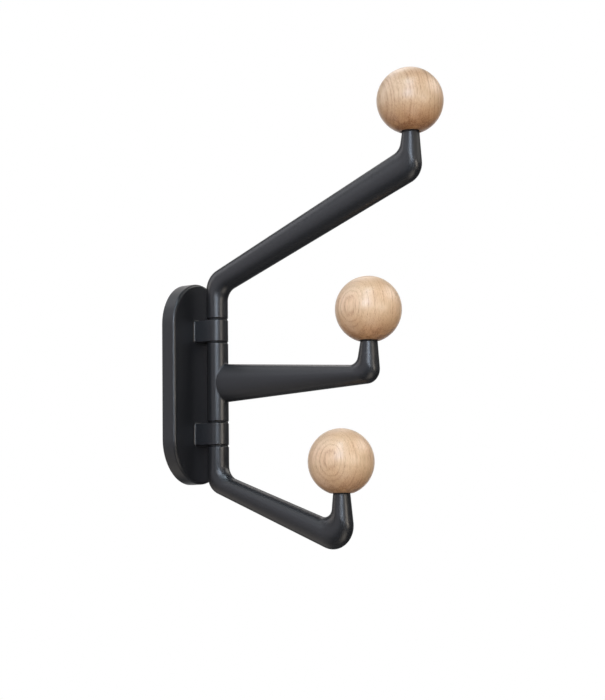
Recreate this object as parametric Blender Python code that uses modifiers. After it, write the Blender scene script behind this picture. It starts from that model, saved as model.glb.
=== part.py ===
"""Three-arm swivel wall hook: an oblong back plate with two knuckles, three arms and three wooden balls.

The arms turn on one upright pivot rod.
Frame: the wall is the plane Y = 0 and the front of the hook looks along -Y.
+Z is up and +X is to the right for someone who faces the wall.
The origin is the middle of the plate, on the wall.
All lengths are in metres.
"""

import math

import bmesh
import bpy
from mathutils import Matrix, Vector

# Back plate
PLATE_WIDTH = 0.0554
PLATE_HEIGHT = 0.1265
PLATE_THICKNESS = 0.0096
PLATE_EDGE_RADIUS = 0.0018
PLATE_FRONT_WALL = 0.0024

# Hinge: the knuckles on the plate and the round barrels of the arms
AXIS_FROM_WALL = 0.0227
BARREL_DIAMETER = 0.0135
BARREL_CHAMFER = 0.0004
KNUCKLE_HEIGHT = 0.0137
KNUCKLE_MIDDLE = 0.03235

# Pivot rod and its grooves
ROD_DIAMETER = 0.0060
ROD_CHAMFER = 0.0005
GROOVE_DEPTH = 0.0005
GROOVE_WIDTH = 0.0042

# Flanged bushes in the arms
BUSH_WALL = 0.0012
BUSH_LENGTH = 0.0110
BUSH_FLANGE = 0.0005
BUSH_FLANGE_INSET = 0.0004

# Clearances between pieces
FIT = 0.0003
AXIAL_PLAY = 0.00025

# Set screws
KNUCKLE_SCREW_DIAMETER = 0.0040
KNUCKLE_SCREW_LENGTH = 0.0110
ARM_SCREW_DIAMETER = 0.0030
ARM_SCREW_LENGTH = 0.0037
LOCK_SCREW_LENGTH = 0.0110
SCREW_SOCKET_SHARE = 0.5
SCREW_POINT_SHARE = 0.7
SOCKET_DEPTH_SHARE = 0.6

# Wall bracket in the pocket behind the plate
BRACKET_WIDTH = 0.0300
BRACKET_HEIGHT = 0.1000
BRACKET_GAUGE = 0.0020
BRACKET_BEND = 0.0008
BRACKET_HOLE_DIAMETER = 0.0048
BRACKET_HOLE_SPACING = 0.0440

# Arms: sections are ovals, taller in the plane of the arm than they are wide
ARM_WIDTH = 0.0123
NECK_TOP_DIAMETER = 0.0106
NECK_CHAMFER = 0.0004
REST_ABOVE_SCREW = 0.0030

# Upper arm
UPPER_REACH = 0.1418
UPPER_BALL_HEIGHT = 0.1593
UPPER_BEND_INNER_RISE = 0.0160
UPPER_BEND_OUTER_RISE = 0.0274
UPPER_NECK_INNER_DROP = 0.0099
UPPER_NECK_OUTER_DROP = 0.0268
UPPER_NECK_INNER_SPREAD = 0.0018
UPPER_NECK_OUTER_SPREAD = 0.0017
UPPER_BEND_INNER_RADIUS = 0.0090
UPPER_BEND_OUTER_RADIUS = 0.0126
UPPER_ELBOW_INNER_RADIUS = 0.0083
UPPER_ELBOW_OUTER_RADIUS = 0.0114

# Middle arm
MIDDLE_REACH = 0.1105
MIDDLE_BALL_HEIGHT = 0.0367
MIDDLE_ROOT_TOP = 0.0117
MIDDLE_ROOT_BOTTOM = -0.0131
MIDDLE_NECK_INNER_DROP = 0.0134
MIDDLE_NECK_OUTER_DROP = 0.0247
MIDDLE_NECK_INNER_SPREAD = 0.0027
MIDDLE_NECK_OUTER_SPREAD = 0.0016
MIDDLE_ELBOW_INNER_RADIUS = 0.0058
MIDDLE_ELBOW_OUTER_RADIUS = 0.0083

# Lower arm
LOWER_REACH = 0.0898
LOWER_BALL_HEIGHT = -0.0533
LOWER_BEND_INNER_DROP = 0.0181
LOWER_BEND_OUTER_DROP = 0.0263
LOWER_NECK_INNER_DROP = 0.0156
LOWER_NECK_OUTER_DROP = 0.0408
LOWER_NECK_INNER_SPREAD = 0.0016
LOWER_NECK_OUTER_SPREAD = 0.0040
LOWER_BEND_INNER_RADIUS = 0.0102
LOWER_BEND_OUTER_RADIUS = 0.0116
LOWER_ELBOW_INNER_RADIUS = 0.0058
LOWER_ELBOW_OUTER_RADIUS = 0.0134

# Wooden balls, the washer under each one, and the insert and stud that hold it
BALL_DIAMETER = 0.0400
BALL_FLAT_DIAMETER = 0.0138
BALL_RECESS_DIAMETER = 0.0122
BALL_RECESS_DEPTH = 0.0006
WASHER_DIAMETER = 0.0104
WASHER_THICKNESS = 0.0012
INSERT_DIAMETER = 0.0080
INSERT_LENGTH = 0.0120
INSERT_CHAMFER = 0.0004
STUD_DIAMETER = 0.0040
STUD_IN_NECK = 0.0090
STUD_IN_BALL = 0.0100
STUD_CHAMFER = 0.0004

# How finely round shapes are divided
ARM_SIDES = 24
CORNER_STEPS = 6
OUTLINE_STEPS = 16
EDGE_STEPS = 3
ROUND_STEPS = 24
BALL_STEPS = 32
BALL_ARC_STEPS = 18
SCREW_STEPS = 16

# Worked out from the sizes above
BARREL_RADIUS = BARREL_DIAMETER / 2
ROD_RADIUS = ROD_DIAMETER / 2
GROOVE_RADIUS = ROD_RADIUS - GROOVE_DEPTH
BUSH_BORE_RADIUS = ROD_RADIUS + FIT
BUSH_RADIUS = BUSH_BORE_RADIUS + BUSH_WALL
NECK_TOP_RADIUS = NECK_TOP_DIAMETER / 2
BALL_RADIUS = BALL_DIAMETER / 2
BALL_FLAT_RADIUS = BALL_FLAT_DIAMETER / 2
RECESS_RADIUS = BALL_RECESS_DIAMETER / 2
SEAM = BUSH_FLANGE + 2 * AXIAL_PLAY
KNUCKLE_TOP = KNUCKLE_MIDDLE + KNUCKLE_HEIGHT / 2
KNUCKLE_BOTTOM = KNUCKLE_MIDDLE - KNUCKLE_HEIGHT / 2
UPPER_FOOT = KNUCKLE_TOP + SEAM
LOWER_FOOT = -KNUCKLE_TOP - SEAM
MIDDLE_END = KNUCKLE_BOTTOM - SEAM
ARM_SCREW_RISE = BUSH_LENGTH + FIT + ARM_SCREW_DIAMETER
ROD_END = UPPER_FOOT + ARM_SCREW_RISE + REST_ABOVE_SCREW
BALL_FLAT_DROP = math.sqrt(BALL_RADIUS**2 - BALL_FLAT_RADIUS**2)
RECESS_FLOOR = BALL_FLAT_DROP - BALL_RECESS_DEPTH
NECK_TOP_BELOW_BALL = RECESS_FLOOR + WASHER_THICKNESS
POCKET_DEPTH = PLATE_THICKNESS - PLATE_FRONT_WALL
AXIS = Vector((0.0, -AXIS_FROM_WALL, 0.0))

METAL = ((0.028, 0.029, 0.033), 0.42, 0.7)
OAK = ((0.58, 0.39, 0.24), 0.45, 0.0)
STEEL = ((0.55, 0.56, 0.58), 0.3, 1.0)
NYLON = ((0.012, 0.012, 0.013), 0.6, 0.0)
BRASS = ((0.72, 0.5, 0.2), 0.3, 1.0)


def clear_scene():
    """Remove whatever the open file holds."""
    for item in list(bpy.data.objects):
        bpy.data.objects.remove(item, do_unlink=True)


def make_collection(name):
    collection = bpy.data.collections.new(name)
    bpy.context.scene.collection.children.link(collection)
    return collection


def make_material(name, look):
    """A Principled material from (colour, roughness, metallic)."""
    colour, roughness, metallic = look
    material = bpy.data.materials.new(name)
    material.use_nodes = True
    shader = material.node_tree.nodes["Principled BSDF"]
    shader.inputs["Base Color"].default_value = (*colour, 1.0)
    shader.inputs["Roughness"].default_value = roughness
    shader.inputs["Metallic"].default_value = metallic
    material.diffuse_color = (*colour, 1.0)
    return material


class Workshop:
    """The two collections, and what is common to every piece and cutter."""

    def __init__(self):
        self.parts = make_collection("wall_hook")
        self.tools = make_collection("cutters")

    def piece(self, name, mesh, look, parent=None):
        item = bpy.data.objects.new(name, mesh)
        self.parts.objects.link(item)
        item.data.materials.append(make_material(name + "_material", look))
        item.data.shade_smooth()
        item.data.set_sharp_from_angle(angle=math.radians(35))
        if parent:
            item.parent = parent
        return item

    def tool(self, name, mesh, parent=None):
        item = bpy.data.objects.new(name, mesh)
        self.tools.objects.link(item)
        item.hide_render = True
        item.display_type = "WIRE"
        if parent:
            item.parent = parent
        return item

    def empty(self, name, location):
        item = bpy.data.objects.new(name, None)
        item.location = location
        self.parts.objects.link(item)
        return item

    def combine(self, item, tool, operation):
        """Join a tool to a piece (UNION) or cut it away (DIFFERENCE)."""
        modifier = item.modifiers.new(tool.name, "BOOLEAN")
        modifier.object = tool
        modifier.operation = operation
        modifier.solver = "EXACT"


def mesh_from(bm, name):
    bmesh.ops.recalc_face_normals(bm, faces=bm.faces)
    mesh = bpy.data.meshes.new(name)
    bm.to_mesh(mesh)
    bm.free()
    return mesh


def box_mesh(name, low, high):
    """A box between two corners."""
    low, high = Vector(low), Vector(high)
    bm = bmesh.new()
    bmesh.ops.create_cube(bm, size=1.0)
    bmesh.ops.scale(bm, vec=high - low, verts=bm.verts)
    bmesh.ops.translate(bm, vec=(low + high) / 2, verts=bm.verts)
    return mesh_from(bm, name)


def rod_mesh(name, radius, start, end, steps=ROUND_STEPS):
    """A round bar between two points."""
    start, end = Vector(start), Vector(end)
    along = end - start
    bm = bmesh.new()
    bmesh.ops.create_cone(
        bm, cap_ends=True, segments=steps, radius1=radius, radius2=radius, depth=along.length
    )
    turn = Vector((0.0, 0.0, 1.0)).rotation_difference(along).to_matrix()
    bmesh.ops.rotate(bm, cent=(0.0, 0.0, 0.0), matrix=turn, verts=bm.verts)
    bmesh.ops.translate(bm, vec=(start + end) / 2, verts=bm.verts)
    return mesh_from(bm, name)


def turn_profile(item, steps):
    """Turn an object's open profile, drawn in its XZ plane, about its Z axis."""
    modifier = item.modifiers.new("turn", "SCREW")
    modifier.axis = "Z"
    modifier.steps = steps
    modifier.render_steps = steps
    modifier.use_merge_vertices = True
    modifier.merge_threshold = 0.00001
    return modifier


def profile_mesh(name, points, closed):
    """Radius and height pairs, joined by edges, for a turned shape."""
    bm = bmesh.new()
    verts = [bm.verts.new((radius, 0.0, height)) for radius, height in points]
    for first, second in zip(verts, verts[1:]):
        bm.edges.new((first, second))
    if closed:
        bm.edges.new((verts[-1], verts[0]))
    mesh = bpy.data.meshes.new(name)
    bm.to_mesh(mesh)
    bm.free()
    return mesh


def rounded_corner(before, corner, after, radius):
    """Points along the arc that rounds one corner of an outline in the plane."""
    to_before = (before - corner).normalized()
    to_after = (after - corner).normalized()
    half = to_before.angle(to_after) / 2
    centre = corner + (to_before + to_after).normalized() * radius / math.sin(half)
    reach = radius / math.tan(half)
    first = corner + to_before * reach - centre
    last = corner + to_after * reach - centre
    sweep = first.angle(last)
    points = []
    for step in range(CORNER_STEPS + 1):
        share = step / CORNER_STEPS
        blend = first * math.sin((1 - share) * sweep) + last * math.sin(share * sweep)
        points.append(centre + blend / math.sin(sweep))
    return points


def edge_line(corners, radii):
    """One edge of an arm: its two ends, with an arc at each corner between them."""
    corners = [Vector(corner) for corner in corners]
    line = [corners[0]]
    for index, radius in enumerate(radii, start=1):
        line += rounded_corner(corners[index - 1], corners[index], corners[index + 1], radius)
    line.append(corners[-1])
    return line


def section(inner, outer, half_width):
    """An oval between two edge points; first across the arm's plane, then along the edges' line."""
    middle = (inner + outer) / 2
    half = (inner - outer) / 2
    ring = []
    for side in range(ARM_SIDES):
        angle = 2 * math.pi * side / ARM_SIDES
        reach = middle.x + half.x * math.cos(angle)
        height = middle.y + half.y * math.cos(angle)
        ring.append(Vector((half_width * math.sin(angle), -reach, height)))
    return ring


def loft_mesh(name, rings):
    """A closed skin over a row of rings with as many points each."""
    bm = bmesh.new()
    rows = [[bm.verts.new(point) for point in ring] for ring in rings]
    sides = len(rows[0])
    for row, following in zip(rows, rows[1:]):
        for side in range(sides):
            after = (side + 1) % sides
            bm.faces.new((row[side], row[after], following[after], following[side]))
    bm.faces.new(rows[0])
    bm.faces.new(rows[-1])
    return mesh_from(bm, name)


def arm_mesh(name, inner, outer, widths, foot_chamfer):
    """An arm's skin from its two edges in the plane of the arm and its half widths across it.

    The half widths are given at the foot, at the end of each corner and at the neck's top.
    """
    spread = [widths[0]]
    for width, following in zip(widths, widths[1:-1]):
        for step in range(CORNER_STEPS + 1):
            spread.append(width + (following - width) * step / CORNER_STEPS)
    spread.append(widths[-1])
    rings = [section(a, b, width) for a, b, width in zip(inner, outer, spread)]
    if foot_chamfer:
        rings = chamfered_end(inner[0], outer[0], widths[0], foot_chamfer, inner[1], outer[1]) + rings[1:]
    top = chamfered_end(inner[-1], outer[-1], widths[-1], NECK_CHAMFER, inner[-2], outer[-2])
    return loft_mesh(name, rings[:-1] + top[::-1])


def chamfered_end(inner, outer, half_width, chamfer, next_inner, next_outer):
    """The two rings of a chamfered end face; the second lies one chamfer along the arm."""
    middle = (inner + outer) / 2
    half = (inner - outer) / 2
    small = half * (1 - chamfer / half.length)
    first = section(middle + small, middle - small, half_width - chamfer)
    inner_along = (next_inner - inner).normalized() * chamfer
    outer_along = (next_outer - outer).normalized() * chamfer
    return [first, section(inner + inner_along, outer + outer_along, half_width)]


def obround_points(width, height):
    """The outline of an upright oblong with half-round ends."""
    radius = width / 2
    straight = height / 2 - radius
    points = []
    for step in range(OUTLINE_STEPS + 1):
        angle = math.pi * step / OUTLINE_STEPS
        points.append((radius * math.cos(angle), straight + radius * math.sin(angle)))
    return points + [(-x, -z) for x, z in points]


def slab_from_outline(points, thickness):
    """A flat slab, as a bmesh: the outline in XY and the thickness up from Z = 0."""
    curve = bpy.data.curves.new("outline", "CURVE")
    curve.dimensions = "2D"
    curve.fill_mode = "BOTH"
    curve.extrude = thickness / 2
    spline = curve.splines.new("POLY")
    spline.points.add(len(points) - 1)
    for spot, (across, up) in zip(spline.points, points):
        spot.co = (across, up, 0.0, 1.0)
    spline.use_cyclic_u = True
    outline = bpy.data.objects.new("outline", curve)
    bpy.context.scene.collection.objects.link(outline)
    bpy.context.view_layer.update()
    graph = bpy.context.evaluated_depsgraph_get()
    solid = bpy.data.meshes.new_from_object(outline.evaluated_get(graph))
    bpy.data.objects.remove(outline, do_unlink=True)
    bm = bmesh.new()
    bm.from_mesh(solid)
    bpy.data.meshes.remove(solid)
    bmesh.ops.remove_doubles(bm, verts=bm.verts, dist=FIT / 100)
    bmesh.ops.dissolve_limit(bm, angle_limit=math.radians(1), verts=bm.verts, edges=bm.edges)
    bmesh.ops.translate(bm, vec=(0.0, 0.0, thickness / 2), verts=bm.verts)
    return bm


def plate_mesh():
    """The plate's oblong slab, with the front edge rounded."""
    bm = slab_from_outline(obround_points(PLATE_WIDTH, PLATE_HEIGHT), PLATE_THICKNESS)
    halfway = PLATE_THICKNESS / 2
    front = [edge for edge in bm.edges if all(vert.co.z > halfway for vert in edge.verts)]
    bmesh.ops.bevel(
        bm, geom=front, offset=PLATE_EDGE_RADIUS, segments=EDGE_STEPS, profile=0.5, affect="EDGES"
    )
    bmesh.ops.rotate(bm, cent=(0.0, 0.0, 0.0), matrix=Matrix.Rotation(math.pi / 2, 3, "X"), verts=bm.verts)
    return mesh_from(bm, "back_plate")


def knuckle_mesh(name, middle):
    """A knuckle: a straight web from inside the plate to a half-round nose about the axis."""
    back = -AXIS.y - (PLATE_THICKNESS - PLATE_FRONT_WALL / 2)
    points = [(BARREL_RADIUS, back), (-BARREL_RADIUS, back)]
    for step in range(ROUND_STEPS // 2 + 1):
        angle = math.pi + math.pi * step / (ROUND_STEPS // 2)
        points.append((BARREL_RADIUS * math.cos(angle), BARREL_RADIUS * math.sin(angle)))
    bm = slab_from_outline(points, KNUCKLE_HEIGHT)
    bmesh.ops.translate(bm, vec=AXIS + Vector((0.0, 0.0, middle - KNUCKLE_HEIGHT / 2)), verts=bm.verts)
    return mesh_from(bm, name)


def build_back_plate(shop):
    """The cast plate with its two knuckles, rear pocket, pivot bore and screw holes."""
    plate = shop.piece("back_plate", plate_mesh(), METAL)
    pocket_x = BRACKET_WIDTH / 2 + FIT
    pocket_z = BRACKET_HEIGHT / 2 + FIT
    past_wall = PLATE_THICKNESS
    pocket = box_mesh(
        "plate_pocket", (-pocket_x, -POCKET_DEPTH, -pocket_z), (pocket_x, past_wall, pocket_z)
    )
    bore_end = Vector((0.0, 0.0, PLATE_HEIGHT / 2))
    bore = rod_mesh("pivot_bore", BUSH_BORE_RADIUS, AXIS - bore_end, AXIS + bore_end)
    for side, label in ((1, "upper"), (-1, "lower")):
        knuckle = shop.tool(label + "_knuckle", knuckle_mesh(label + "_knuckle", side * KNUCKLE_MIDDLE))
        shop.combine(plate, knuckle, "UNION")
    shop.combine(plate, shop.tool("plate_pocket", pocket), "DIFFERENCE")
    shop.combine(plate, shop.tool("pivot_bore", bore), "DIFFERENCE")
    for side, label in ((1, "upper"), (-1, "lower")):
        height = Vector((0.0, 0.0, side * KNUCKLE_MIDDLE))
        name = label + "_knuckle_screw_hole"
        hole = rod_mesh(name, KNUCKLE_SCREW_DIAMETER / 2 + FIT, height, AXIS + height, SCREW_STEPS)
        shop.combine(plate, shop.tool(name, hole), "DIFFERENCE")
    low = Vector((0.0, lock_screw_depth(), -PLATE_HEIGHT / 2 - PLATE_THICKNESS))
    high = Vector((0.0, lock_screw_depth(), -BRACKET_HEIGHT / 2))
    hole = rod_mesh("lock_screw_hole", ARM_SCREW_DIAMETER / 2 + FIT, low, high, SCREW_STEPS)
    shop.combine(plate, shop.tool("lock_screw_hole", hole), "DIFFERENCE")


def lock_screw_depth():
    """How far in front of the wall the lock screw runs: halfway along the bracket's lower tab."""
    return -(BRACKET_GAUGE + POCKET_DEPTH - FIT) / 2


def build_wall_bracket(shop):
    """A steel strip with a tab bent forward at each end, two wall screw holes and a lock screw hole."""
    across = BRACKET_WIDTH / 2
    end = BRACKET_HEIGHT / 2
    tab = POCKET_DEPTH - FIT
    strip = box_mesh("wall_bracket", (-across, -BRACKET_GAUGE, -end), (across, 0.0, end))
    bracket = shop.piece("wall_bracket", strip, STEEL)
    for side, label in ((1, "upper"), (-1, "lower")):
        low, high = sorted((side * end, side * (end - BRACKET_GAUGE)))
        corner = BRACKET_GAUGE - BRACKET_BEND
        name = label + "_tab"
        mesh = box_mesh(name, (-across, -tab, low), (across, -corner, high))
        shop.combine(bracket, shop.tool(name, mesh), "UNION")
        name = label + "_wall_screw_hole"
        spot = Vector((0.0, 0.0, side * BRACKET_HOLE_SPACING / 2))
        depth = Vector((0.0, 2 * BRACKET_GAUGE, 0.0))
        mesh = rod_mesh(name, BRACKET_HOLE_DIAMETER / 2, spot - depth, spot + depth, SCREW_STEPS)
        shop.combine(bracket, shop.tool(name, mesh), "DIFFERENCE")
    low = Vector((0.0, lock_screw_depth(), -end - BRACKET_GAUGE))
    high = Vector((0.0, lock_screw_depth(), -end + 2 * BRACKET_GAUGE))
    mesh = rod_mesh("tab_thread", ARM_SCREW_DIAMETER / 2 + FIT, low, high, SCREW_STEPS)
    shop.combine(bracket, shop.tool("tab_thread", mesh), "DIFFERENCE")


def build_pivot_rod(shop):
    """The rod that all three arms turn on, with a groove for each of its four set screws."""
    grooves = [-UPPER_FOOT - ARM_SCREW_RISE, -KNUCKLE_MIDDLE, KNUCKLE_MIDDLE, UPPER_FOOT + ARM_SCREW_RISE]
    points = [(0.0, ROD_END), (ROD_RADIUS - ROD_CHAMFER, ROD_END), (ROD_RADIUS, ROD_END - ROD_CHAMFER)]
    for height in reversed(grooves):
        top, bottom = height + GROOVE_WIDTH / 2, height - GROOVE_WIDTH / 2
        points += [(ROD_RADIUS, top), (GROOVE_RADIUS, top - GROOVE_DEPTH)]
        points += [(GROOVE_RADIUS, bottom + GROOVE_DEPTH), (ROD_RADIUS, bottom)]
    points += [(ROD_RADIUS, ROD_CHAMFER - ROD_END), (ROD_RADIUS - ROD_CHAMFER, -ROD_END), (0.0, -ROD_END)]
    rod = shop.piece("pivot_rod", profile_mesh("pivot_rod", points, closed=False), STEEL)
    turn_profile(rod, ROUND_STEPS)
    rod.location = AXIS


def build_set_screw(shop, name, diameter, length, tip, direction, parent=None):
    """A headless screw with a dog point at its tip and a hexagon socket at its other end."""
    radius = diameter / 2
    point = radius * SCREW_POINT_SHARE
    step = radius - point
    points = [(0.0, 0.0), (radius, 0.0), (radius, step * 2 - length), (point, step - length), (point, -length)]
    points.append((0.0, -length))
    screw = shop.piece(name, profile_mesh(name, points, closed=False), STEEL, parent)
    turn_profile(screw, SCREW_STEPS)
    socket_depth = Vector((0.0, 0.0, diameter * SOCKET_DEPTH_SHARE))
    socket_mesh = rod_mesh(name + "_socket", diameter * SCREW_SOCKET_SHARE / 2, -socket_depth, socket_depth, 6)
    socket = shop.tool(name + "_socket", socket_mesh, screw)
    shop.combine(screw, socket, "DIFFERENCE")
    direction = Vector(direction)
    screw.rotation_euler = Vector((0.0, 0.0, -1.0)).rotation_difference(direction).to_euler()
    screw.location = Vector(tip) - direction * length


def build_fixed_screws(shop):
    """The screws that pin the rod in the knuckles, and the one that locks the plate to its bracket."""
    tip_y = -AXIS_FROM_WALL + GROOVE_RADIUS + FIT
    for side, label in ((1, "upper"), (-1, "lower")):
        tip = (0.0, tip_y, side * KNUCKLE_MIDDLE)
        name = label + "_knuckle_screw"
        build_set_screw(shop, name, KNUCKLE_SCREW_DIAMETER, KNUCKLE_SCREW_LENGTH, tip, (0.0, -1.0, 0.0))
    tip = (0.0, lock_screw_depth(), -BRACKET_HEIGHT / 2 + BRACKET_GAUGE)
    build_set_screw(shop, "plate_lock_screw", ARM_SCREW_DIAMETER, LOCK_SCREW_LENGTH, tip, (0.0, 0.0, 1.0))


def build_bush(shop, name, face, outward, parent):
    """A flanged bush; face is the height of the barrel's end and outward is 1 for up, -1 for down."""
    flange = BARREL_RADIUS - BUSH_FLANGE_INSET
    top = AXIAL_PLAY + BUSH_FLANGE
    points = [
        (BUSH_BORE_RADIUS, top),
        (flange, top),
        (flange, AXIAL_PLAY),
        (BUSH_RADIUS, AXIAL_PLAY),
        (BUSH_RADIUS, -BUSH_LENGTH),
        (BUSH_BORE_RADIUS, -BUSH_LENGTH),
    ]
    bush = shop.piece(name, profile_mesh(name, points, closed=True), NYLON, parent)
    turn_profile(bush, ROUND_STEPS)
    bush.location = (0.0, 0.0, face)
    if outward < 0:
        bush.rotation_euler = (math.pi, 0.0, 0.0)


def cut_bush_seat(shop, arm, name, face, outward, parent):
    """The counterbore in a barrel's end for its bush."""
    start = Vector((0.0, 0.0, face + outward * BUSH_LENGTH))
    end = Vector((0.0, 0.0, face - outward * (BUSH_LENGTH + FIT)))
    mesh = rod_mesh(name, BUSH_RADIUS + FIT, start, end)
    shop.combine(arm, shop.tool(name, mesh, parent), "DIFFERENCE")


def neck_edges(reach, ball_height, inner_drop, outer_drop, inner_spread, outer_spread):
    """The elbow's corner and the neck's top, on the inner and the outer edge of an arm."""
    top = ball_height - NECK_TOP_BELOW_BALL
    inner_corner = (reach - NECK_TOP_RADIUS - inner_spread, top - inner_drop)
    outer_corner = (reach + NECK_TOP_RADIUS + outer_spread, top - outer_drop)
    inner = [inner_corner, (reach - NECK_TOP_RADIUS, top)]
    outer = [outer_corner, (reach + NECK_TOP_RADIUS, top)]
    return inner, outer


def cut_stud_hole(shop, arm, label, reach, ball_height, parent):
    """The blind hole for the stud in the top of an arm's neck."""
    top = Vector((0.0, -reach, ball_height - NECK_TOP_BELOW_BALL))
    rise = Vector((0.0, 0.0, STUD_IN_NECK))
    play = Vector((0.0, 0.0, FIT))
    name = label + "_stud_hole"
    mesh = rod_mesh(name, STUD_DIAMETER / 2 + FIT, top - rise - play, top + rise, SCREW_STEPS)
    shop.combine(arm, shop.tool(name, mesh, parent), "DIFFERENCE")


def build_ball(shop, label, reach, ball_height, parent):
    """A wooden ball with a recess for its washer, its brass insert and the stud that joins them."""
    centre = Vector((0.0, -reach, ball_height))
    insert_radius = INSERT_DIAMETER / 2
    hole_radius = insert_radius + FIT
    hole_top = INSERT_LENGTH + 2 * FIT - RECESS_FLOOR
    rim = math.asin(BALL_FLAT_RADIUS / BALL_RADIUS)
    points = []
    for step in range(BALL_ARC_STEPS + 1):
        angle = (math.pi - rim) * step / BALL_ARC_STEPS
        points.append((BALL_RADIUS * math.sin(angle), BALL_RADIUS * math.cos(angle)))
    points += [(RECESS_RADIUS, -BALL_FLAT_DROP), (RECESS_RADIUS, -RECESS_FLOOR)]
    points += [(hole_radius, -RECESS_FLOOR), (hole_radius, hole_top), (0.0, hole_top)]
    name = label + "_ball"
    ball = shop.piece(name, profile_mesh(name, points, closed=False), OAK, parent)
    turn_profile(ball, BALL_STEPS)
    ball.location = centre

    bore = STUD_DIAMETER / 2 + FIT
    points = [
        (bore, INSERT_LENGTH),
        (insert_radius - INSERT_CHAMFER, INSERT_LENGTH),
        (insert_radius, INSERT_LENGTH - INSERT_CHAMFER),
        (insert_radius, 0.0),
        (bore, 0.0),
    ]
    name = label + "_insert"
    insert = shop.piece(name, profile_mesh(name, points, closed=True), BRASS, parent)
    turn_profile(insert, ROUND_STEPS)
    insert.location = centre + Vector((0.0, 0.0, FIT - RECESS_FLOOR))

    rim = WASHER_DIAMETER / 2
    points = [(bore, WASHER_THICKNESS), (rim, WASHER_THICKNESS), (rim, 0.0), (bore, 0.0)]
    name = label + "_washer"
    washer = shop.piece(name, profile_mesh(name, points, closed=True), NYLON, parent)
    turn_profile(washer, ROUND_STEPS)
    washer.location = centre - Vector((0.0, 0.0, NECK_TOP_BELOW_BALL))

    radius = STUD_DIAMETER / 2
    points = [
        (0.0, STUD_IN_BALL),
        (radius - STUD_CHAMFER, STUD_IN_BALL),
        (radius, STUD_IN_BALL - STUD_CHAMFER),
        (radius, STUD_CHAMFER - STUD_IN_NECK),
        (radius - STUD_CHAMFER, -STUD_IN_NECK),
        (0.0, -STUD_IN_NECK),
    ]
    name = label + "_stud"
    stud = shop.piece(name, profile_mesh(name, points, closed=False), STEEL, parent)
    turn_profile(stud, SCREW_STEPS)
    stud.location = centre - Vector((0.0, 0.0, NECK_TOP_BELOW_BALL))


def build_end_arm(shop, label, outward, foot, bend, elbow, reach, ball_height):
    """The upper or lower arm: a barrel that bends out of the hinge, a slanted arm and a neck.

    outward is 1 where the barrel rises from its foot and -1 where it drops.
    bend and elbow hold (inner corner, outer corner, inner radius, outer radius).
    """
    pivot = shop.empty(label + "_arm_pivot", AXIS)
    inner_neck, outer_neck = elbow[0], elbow[1]
    near, far = (BARREL_RADIUS, foot), (-BARREL_RADIUS, foot)
    if outward > 0:
        low_edge = edge_line([near, bend[0], *outer_neck], [bend[2], elbow[3]])
        high_edge = edge_line([far, bend[1], *inner_neck], [bend[3], elbow[2]])
    else:
        high_edge = edge_line([near, bend[0], *inner_neck], [bend[2], elbow[2]])
        low_edge = edge_line([far, bend[1], *outer_neck], [bend[3], elbow[3]])
    widths = [BARREL_RADIUS, ARM_WIDTH / 2, ARM_WIDTH / 2, NECK_TOP_RADIUS]
    name = label + "_arm"
    mesh = arm_mesh(name, high_edge, low_edge, widths, BARREL_CHAMFER)
    arm = shop.piece(name, mesh, METAL, pivot)
    cut_bush_seat(shop, arm, label + "_bush_seat", foot, -outward, pivot)
    bore_start = Vector((0.0, 0.0, foot))
    bore_end = Vector((0.0, 0.0, outward * (ROD_END + FIT)))
    mesh = rod_mesh(label + "_rod_bore", BUSH_BORE_RADIUS, bore_start, bore_end)
    shop.combine(arm, shop.tool(label + "_rod_bore", mesh, pivot), "DIFFERENCE")
    height = Vector((0.0, 0.0, foot + outward * ARM_SCREW_RISE))
    back = Vector((0.0, BARREL_DIAMETER, 0.0))
    mesh = rod_mesh(label + "_screw_hole", ARM_SCREW_DIAMETER / 2 + FIT, height, height + back, SCREW_STEPS)
    shop.combine(arm, shop.tool(label + "_screw_hole", mesh, pivot), "DIFFERENCE")
    cut_stud_hole(shop, arm, label, reach, ball_height, pivot)
    build_bush(shop, label + "_arm_bush", foot, -outward, pivot)
    tip = height + Vector((0.0, GROOVE_RADIUS + FIT, 0.0))
    name = label + "_arm_screw"
    build_set_screw(shop, name, ARM_SCREW_DIAMETER, ARM_SCREW_LENGTH, tip, (0.0, -1.0, 0.0), pivot)
    build_ball(shop, label, reach, ball_height, pivot)


def build_upper_arm(shop):
    bend_inner = (BARREL_RADIUS, UPPER_FOOT + UPPER_BEND_INNER_RISE)
    bend_outer = (-BARREL_RADIUS, UPPER_FOOT + UPPER_BEND_OUTER_RISE)
    bend = (bend_inner, bend_outer, UPPER_BEND_INNER_RADIUS, UPPER_BEND_OUTER_RADIUS)
    drops = (UPPER_NECK_INNER_DROP, UPPER_NECK_OUTER_DROP)
    spreads = (UPPER_NECK_INNER_SPREAD, UPPER_NECK_OUTER_SPREAD)
    neck = neck_edges(UPPER_REACH, UPPER_BALL_HEIGHT, *drops, *spreads)
    elbow = (*neck, UPPER_ELBOW_INNER_RADIUS, UPPER_ELBOW_OUTER_RADIUS)
    build_end_arm(shop, "upper", 1, UPPER_FOOT, bend, elbow, UPPER_REACH, UPPER_BALL_HEIGHT)


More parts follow.
